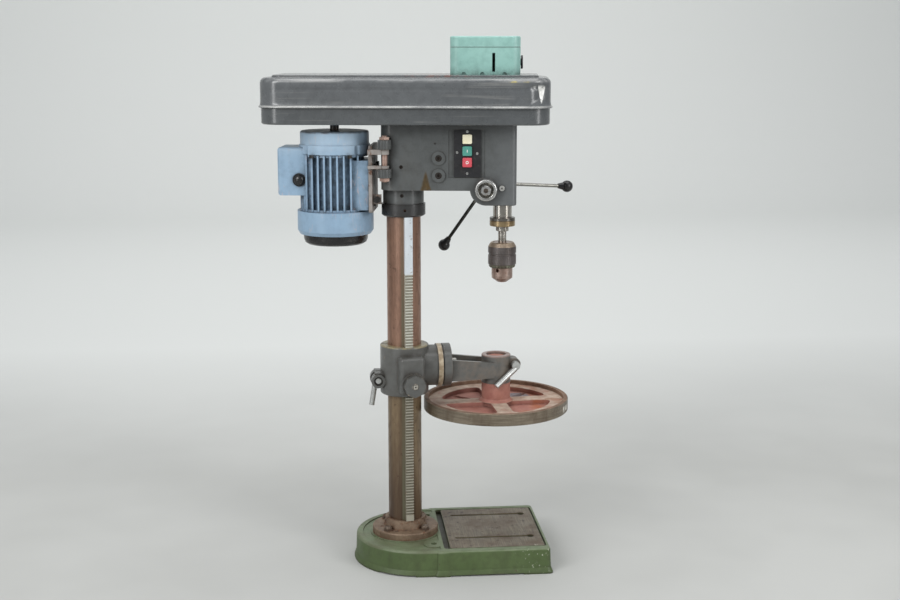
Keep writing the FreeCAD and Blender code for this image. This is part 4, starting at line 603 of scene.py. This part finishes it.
def loft(bm, rings, close=False):
    """Quads between rings with the same number of points; the ends are left open or joined up."""
    made = [[bm.verts.new(spot) for spot in ring] for ring in rings]
    pairs = list(zip(made, made[1:])) + ([(made[-1], made[0])] if close else [])
    for low, high in pairs:
        for n in range(len(low)):
            after = (n + 1) % len(low)
            bm.faces.new((low[n], low[after], high[after], high[n]))
    return made


def to_mesh(name, bm):
    bmesh.ops.recalc_face_normals(bm, faces=bm.faces[:])
    mesh = bpy.data.meshes.new(name)
    bm.to_mesh(mesh)
    bm.free()
    return mesh


# Millimetres, in the head's own axes: X along the belt, Y across it.
LID = {"back": -290.0, "front": 309.0, "half": 112.0, "corner": 46.0, "seam": 991.0, "top": 1053.0,
       "raised": 1058.0}
LID_WALL = (994, 1049)       # heights between which the side wall can be pushed in
LID_HINGES = (-200.0, 45.0)  # X of the two hinges
HINGE = (121.0, 991.5)       # Y and Z of the hinge pin


def ease(value, low, high):
    """Smooth step from 0 at low to 1 at high."""
    t = min(1.0, max(0.0, (value - low) / (high - low)))
    return t * t * (3 - 2 * t)


def lid_ring(inset, z):
    """One line round the lid, with its dented front corner and slightly wavy sheet."""
    radius = max(LID["corner"] - inset, 3.0)
    x0, x1 = LID["back"] + inset + radius, LID["front"] - inset - radius
    y1 = LID["half"] - inset - radius
    spots = []
    for cx, cy, start, far in ((x1, y1, 0, (x0, y1)), (x0, y1, 90, (x0, -y1)),
                               (x0, -y1, 180, (x1, -y1)), (x1, -y1, 270, (x1, y1))):
        for n in range(21):
            angle = math.radians(start + 90 * n / 20)
            spots.append((cx + radius * math.cos(angle), cy + radius * math.sin(angle),
                          math.cos(angle), math.sin(angle)))
        steps = 44 if start in (0, 180) else 16
        end = math.radians(start + 90)
        ex, ey = cx + radius * math.cos(end), cy + radius * math.sin(end)
        fx, fy = far[0] + radius * math.cos(end), far[1] + radius * math.sin(end)
        for n in range(1, steps):
            t = n / steps
            spots.append((ex + (fx - ex) * t, ey + (fy - ey) * t, math.cos(end), math.sin(end)))
    return [lid_spot(inset, z, *spot) for spot in spots]


def lid_spot(inset, z, x, y, nx, ny):
    """One point of the lid, pushed in at the near corner's dent and fold and by the wavy sheet."""
    near = ease(-ny, 0.3, 0.9)
    rough = math.sin(x / 31.0 + 0.7) * 0.5 + math.sin(x / 13.7) * 0.3 + math.sin(x / 71.0 + 2.0) * 0.4
    push = 0.0
    if LID_WALL[0] < z < LID_WALL[1]:
        push += near * (0.35 + 0.35 * rough) * ease(z, 994, 1002) * ease(-z, -1050, -1040)
        turn = math.degrees(math.atan2(ny, nx))
        side = 1 - abs(turn + 56) / 30
        tall = 1 - abs(z - 1019) / 21
        fold = 1 - abs(turn + 68 - (z - 1036) * 1.6) / 16
        push += 7.0 * max(0.0, min(side, tall * 1.3)) * (1.0 if inset < 15 else 0.5)
        push += 3.0 * max(0.0, min(fold, 1 - abs(z - 1036) / 9))
    dz = 0.0
    if z < 998 and inset <= 0:
        dz -= near * ease(x, 60, 260) * 1.1 * (0.7 + 0.4 * rough)
    if 1049 < z <= 1053 and inset < 16:
        dz -= near * max(0.0, rough - 0.35) * 1.3
    return x - nx * push, y - ny * push, z + dz


def lid_profile():
    """Insets and heights from the inside bottom edge out over the rolled lip to the raised panel."""
    seam, top, raised = LID["seam"], LID["top"], LID["raised"]
    line = [(2.0, seam), (-2.2, seam), (-3.4, seam + 0.5), (-4.0, seam + 1.8), (-3.6, seam + 3.2),
            (-2.6, seam + 4.2), (-1.6, seam + 5.4), (-0.8, seam + 7.5), (-0.3, seam + 10.5),
            (0.0, seam + 14)]
    line += [(0.0, seam + 14 + 3.0 * n) for n in range(1, 12)]
    for n in range(1, 9):
        angle = math.pi / 2 * n / 8
        line.append((12 - 12 * math.cos(angle), top - 12 + 12 * math.sin(angle)))
    line += [(16.0, top), (22.8, top), (24.0, top + 0.5), (24.6, top + 2.2), (25.6, top + 4.0),
             (27.6, raised - 0.15), (31.0, raised), (60.0, raised), (100.0, raised)]
    return line


def lid_inside():
    """The inner face, 2 mm in from the outer one, from the panel back to the bottom edge."""
    seam, top, raised = LID["seam"], LID["top"], LID["raised"]
    line = [(100.0, raised - 2), (60.0, raised - 2), (31.0, raised - 2), (26.5, top - 2), (16.0, top - 2)]
    for n in range(6, -1, -1):
        angle = math.pi / 2 * n / 6
        line.append((12.5 - 10.5 * math.cos(angle), top - 12.5 + 10.5 * math.sin(angle)))
    line += [(2.0, seam + 14 + 3.0 * n) for n in range(8, -1, -1)] + [(2.0, seam + 7), (2.0, seam + 3)]
    return line


def hinge_leaf(bm, x):
    """Rolled eye round the pin, and the strap from it to the lid."""
    eye = []
    for reach, radius in ((-9, 2.56), (-9, 4.2), (-8.8, 4.4), (8.8, 4.4), (9, 4.2), (9, 2.56)):
        eye.append([(x + reach, HINGE[0] + radius * math.cos(a * math.pi / 12),
                     HINGE[1] + radius * math.sin(a * math.pi / 12)) for a in range(24)])
    loft(bm, eye, True)
    strap = []
    for y, low, high in ((111.0, 992.0, 995.9), (116.0, 992.4, 995.9), (119.5, 994.6, 995.9),
                         (121.0, 994.9, 995.9)):
        strap.append([(x - 9, y, low), (x + 9, y, low), (x + 9, y, high), (x - 9, y, high)])
    made = loft(bm, strap)
    bm.faces.new(made[0])
    bm.faces.new(made[-1])


def guard_lid():
    """The guard's pressed lid as one closed sheet with its two hinge leaves."""
    bm = bmesh.new()
    outer, inner = lid_profile(), lid_inside()
    rings = loft(bm, [lid_ring(*spot) for spot in outer])
    bm.faces.new(rings[-1])
    back = loft(bm, [lid_ring(*spot) for spot in inner])
    bm.faces.new(back[0])
    for n in range(len(rings[0])):
        after = (n + 1) % len(rings[0])
        bm.faces.new((back[-1][n], back[-1][after], rings[0][after], rings[0][n]))
    for x in LID_HINGES:
        hinge_leaf(bm, x)
    name = "guard_lid_pressed_cover"
    piece = place(name, to_mesh(name, bm), "lid", "guard_grey")
    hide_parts("guard_lid")


def button_marks():
    """Raised white stroke on the start button and ring on the stop button."""
    front, x = -66.5, 138.0      # face of both buttons, and their centre line
    start, stop = 902.0, 878.5   # their heights
    bm = bmesh.new()
    stroke = []
    for y, grow in ((front + 0.05, 0.0), (front - 0.2, 0.0), (front - 0.3, -0.15)):
        w, h = 0.75 + grow, 3.0 + grow
        stroke.append([(x - w, y, start - h), (x + w, y, start - h),
                       (x + w, y, start + h), (x - w, y, start + h)])
    made = loft(bm, stroke)
    bm.faces.new(made[-1])
    bm.faces.new(made[0])
    place("start_button_stroke", to_mesh("start_button_stroke", bm), "start_button", "button_mark")
    bm = bmesh.new()
    rings = []
    for y, radius in ((front + 0.05, 3.1), (front - 0.2, 3.1), (front - 0.3, 2.9), (front - 0.3, 1.9),
                      (front - 0.2, 1.7), (front + 0.05, 1.7)):
        rings.append([(x + radius * math.cos(a * math.pi / 16), y,
                       stop + radius * math.sin(a * math.pi / 16)) for a in range(32)])
    loft(bm, rings, True)
    place("stop_button_ring", to_mesh("stop_button_ring", bm), "stop_button", "button_mark")


guard_lid()
button_marks()


# ---- studio ------------------------------------------------------------------------------------
FLOOR_Y = (-9.0, 6.0)        # where the paper starts, and where it begins to curve up
FLOOR_SIDE = 9.0
WALL_BEND = 1.5
WALL_TOP = 7.0
FLOOR_DROP = 0.0005          # keeps the paper just under the feet
CAMERA_AT = (-0.176, -2.971, 1.127)
CAMERA_TURN = (math.radians(79.5), 0.0, math.radians(-5.3))
LENS_MM = 56.0


def paper():
    """Pale floor that curves up into a wall far behind the machine."""
    mesh = bpy.data.meshes.new("studio_floor")
    near, far = FLOOR_Y
    profile = [(near, 0.0), (far, 0.0)]
    for step in range(1, 9):
        angle = math.pi / 2 * step / 8
        profile.append((far + WALL_BEND * math.sin(angle), WALL_BEND * (1 - math.cos(angle))))
    profile.append((far + WALL_BEND, WALL_TOP))
    verts = [(x, y, z - FLOOR_DROP) for y, z in profile for x in (-FLOOR_SIDE, FLOOR_SIDE)]
    faces = [(2 * n, 2 * n + 1, 2 * n + 3, 2 * n + 2) for n in range(len(profile) - 1)]
    mesh.from_pydata(verts, [], faces)
    for polygon in mesh.polygons:
        polygon.use_smooth = True
    floor = bpy.data.objects.new("studio_floor", mesh)
    bpy.context.scene.collection.objects.link(floor)
    s = Surface("studio_paper")
    colour = s.mix(s.noise(1.6, 0.35, 0.65), rgb(184, 185, 182), rgb(192, 193, 190))
    colour = s.mix(s.remap(s.y, 0.6, 2.2), colour, rgb(226, 228, 226))
    mesh.materials.append(s.finish(colour, 0.8, 0.0, s.noise(30), 0.001, 0.05))


def area(name, at, target, size, power):
    """Rectangular soft light that faces target; size in metres, power in watts."""
    lamp = bpy.data.lights.new(name, "AREA")
    lamp.shape = "RECTANGLE"
    lamp.size, lamp.size_y = size
    lamp.energy = power
    held = bpy.data.objects.new(name, lamp)
    held.location = at
    held.rotation_euler = (Vector(target) - Vector(at)).to_track_quat("-Z", "Y").to_euler()
    bpy.context.scene.collection.objects.link(held)


def studio():
    """Floor and wall, soft lights and the camera."""
    paper()
    area("key_light", (-2.2, -2.6, 2.7), (0, 0, 0.7), (1.6, 1.6), 54)
    area("fill_light", (2.4, -2.4, 2.2), (0.1, 0, 0.7), (1.4, 1.6), 28)
    area("left_strip", (-1.9, -1.7, 1.15), (0.1, 0, 0.85), (0.55, 1.5), 11)
    area("right_strip", (2.05, -1.7, 1.15), (0.1, 0, 0.85), (0.55, 1.5), 11)
    area("top_light", (0.2, -0.2, 3.2), (0.1, 0.2, 0), (2.4, 2.0), 36)
    area("wall_light", (0.4, 3.2, 5.0), (0.3, 6.6, 1.2), (6.0, 2.0), 150)
    world = bpy.data.worlds.new("studio_world")
    world.use_nodes = True
    sky = world.node_tree.nodes["Background"].inputs
    sky["Color"].default_value = (0.82, 0.84, 0.86, 1)
    sky["Strength"].default_value = 0.46
    bpy.context.scene.world = world
    bpy.context.scene.view_settings.view_transform = "Standard"

    lens = bpy.data.cameras.new("front_camera")
    lens.lens = LENS_MM
    lens.sensor_width = 36.0
    camera = bpy.data.objects.new("front_camera", lens)
    camera.location = CAMERA_AT
    camera.rotation_euler = CAMERA_TURN
    bpy.context.scene.collection.objects.link(camera)
    bpy.context.scene.camera = camera


studio()
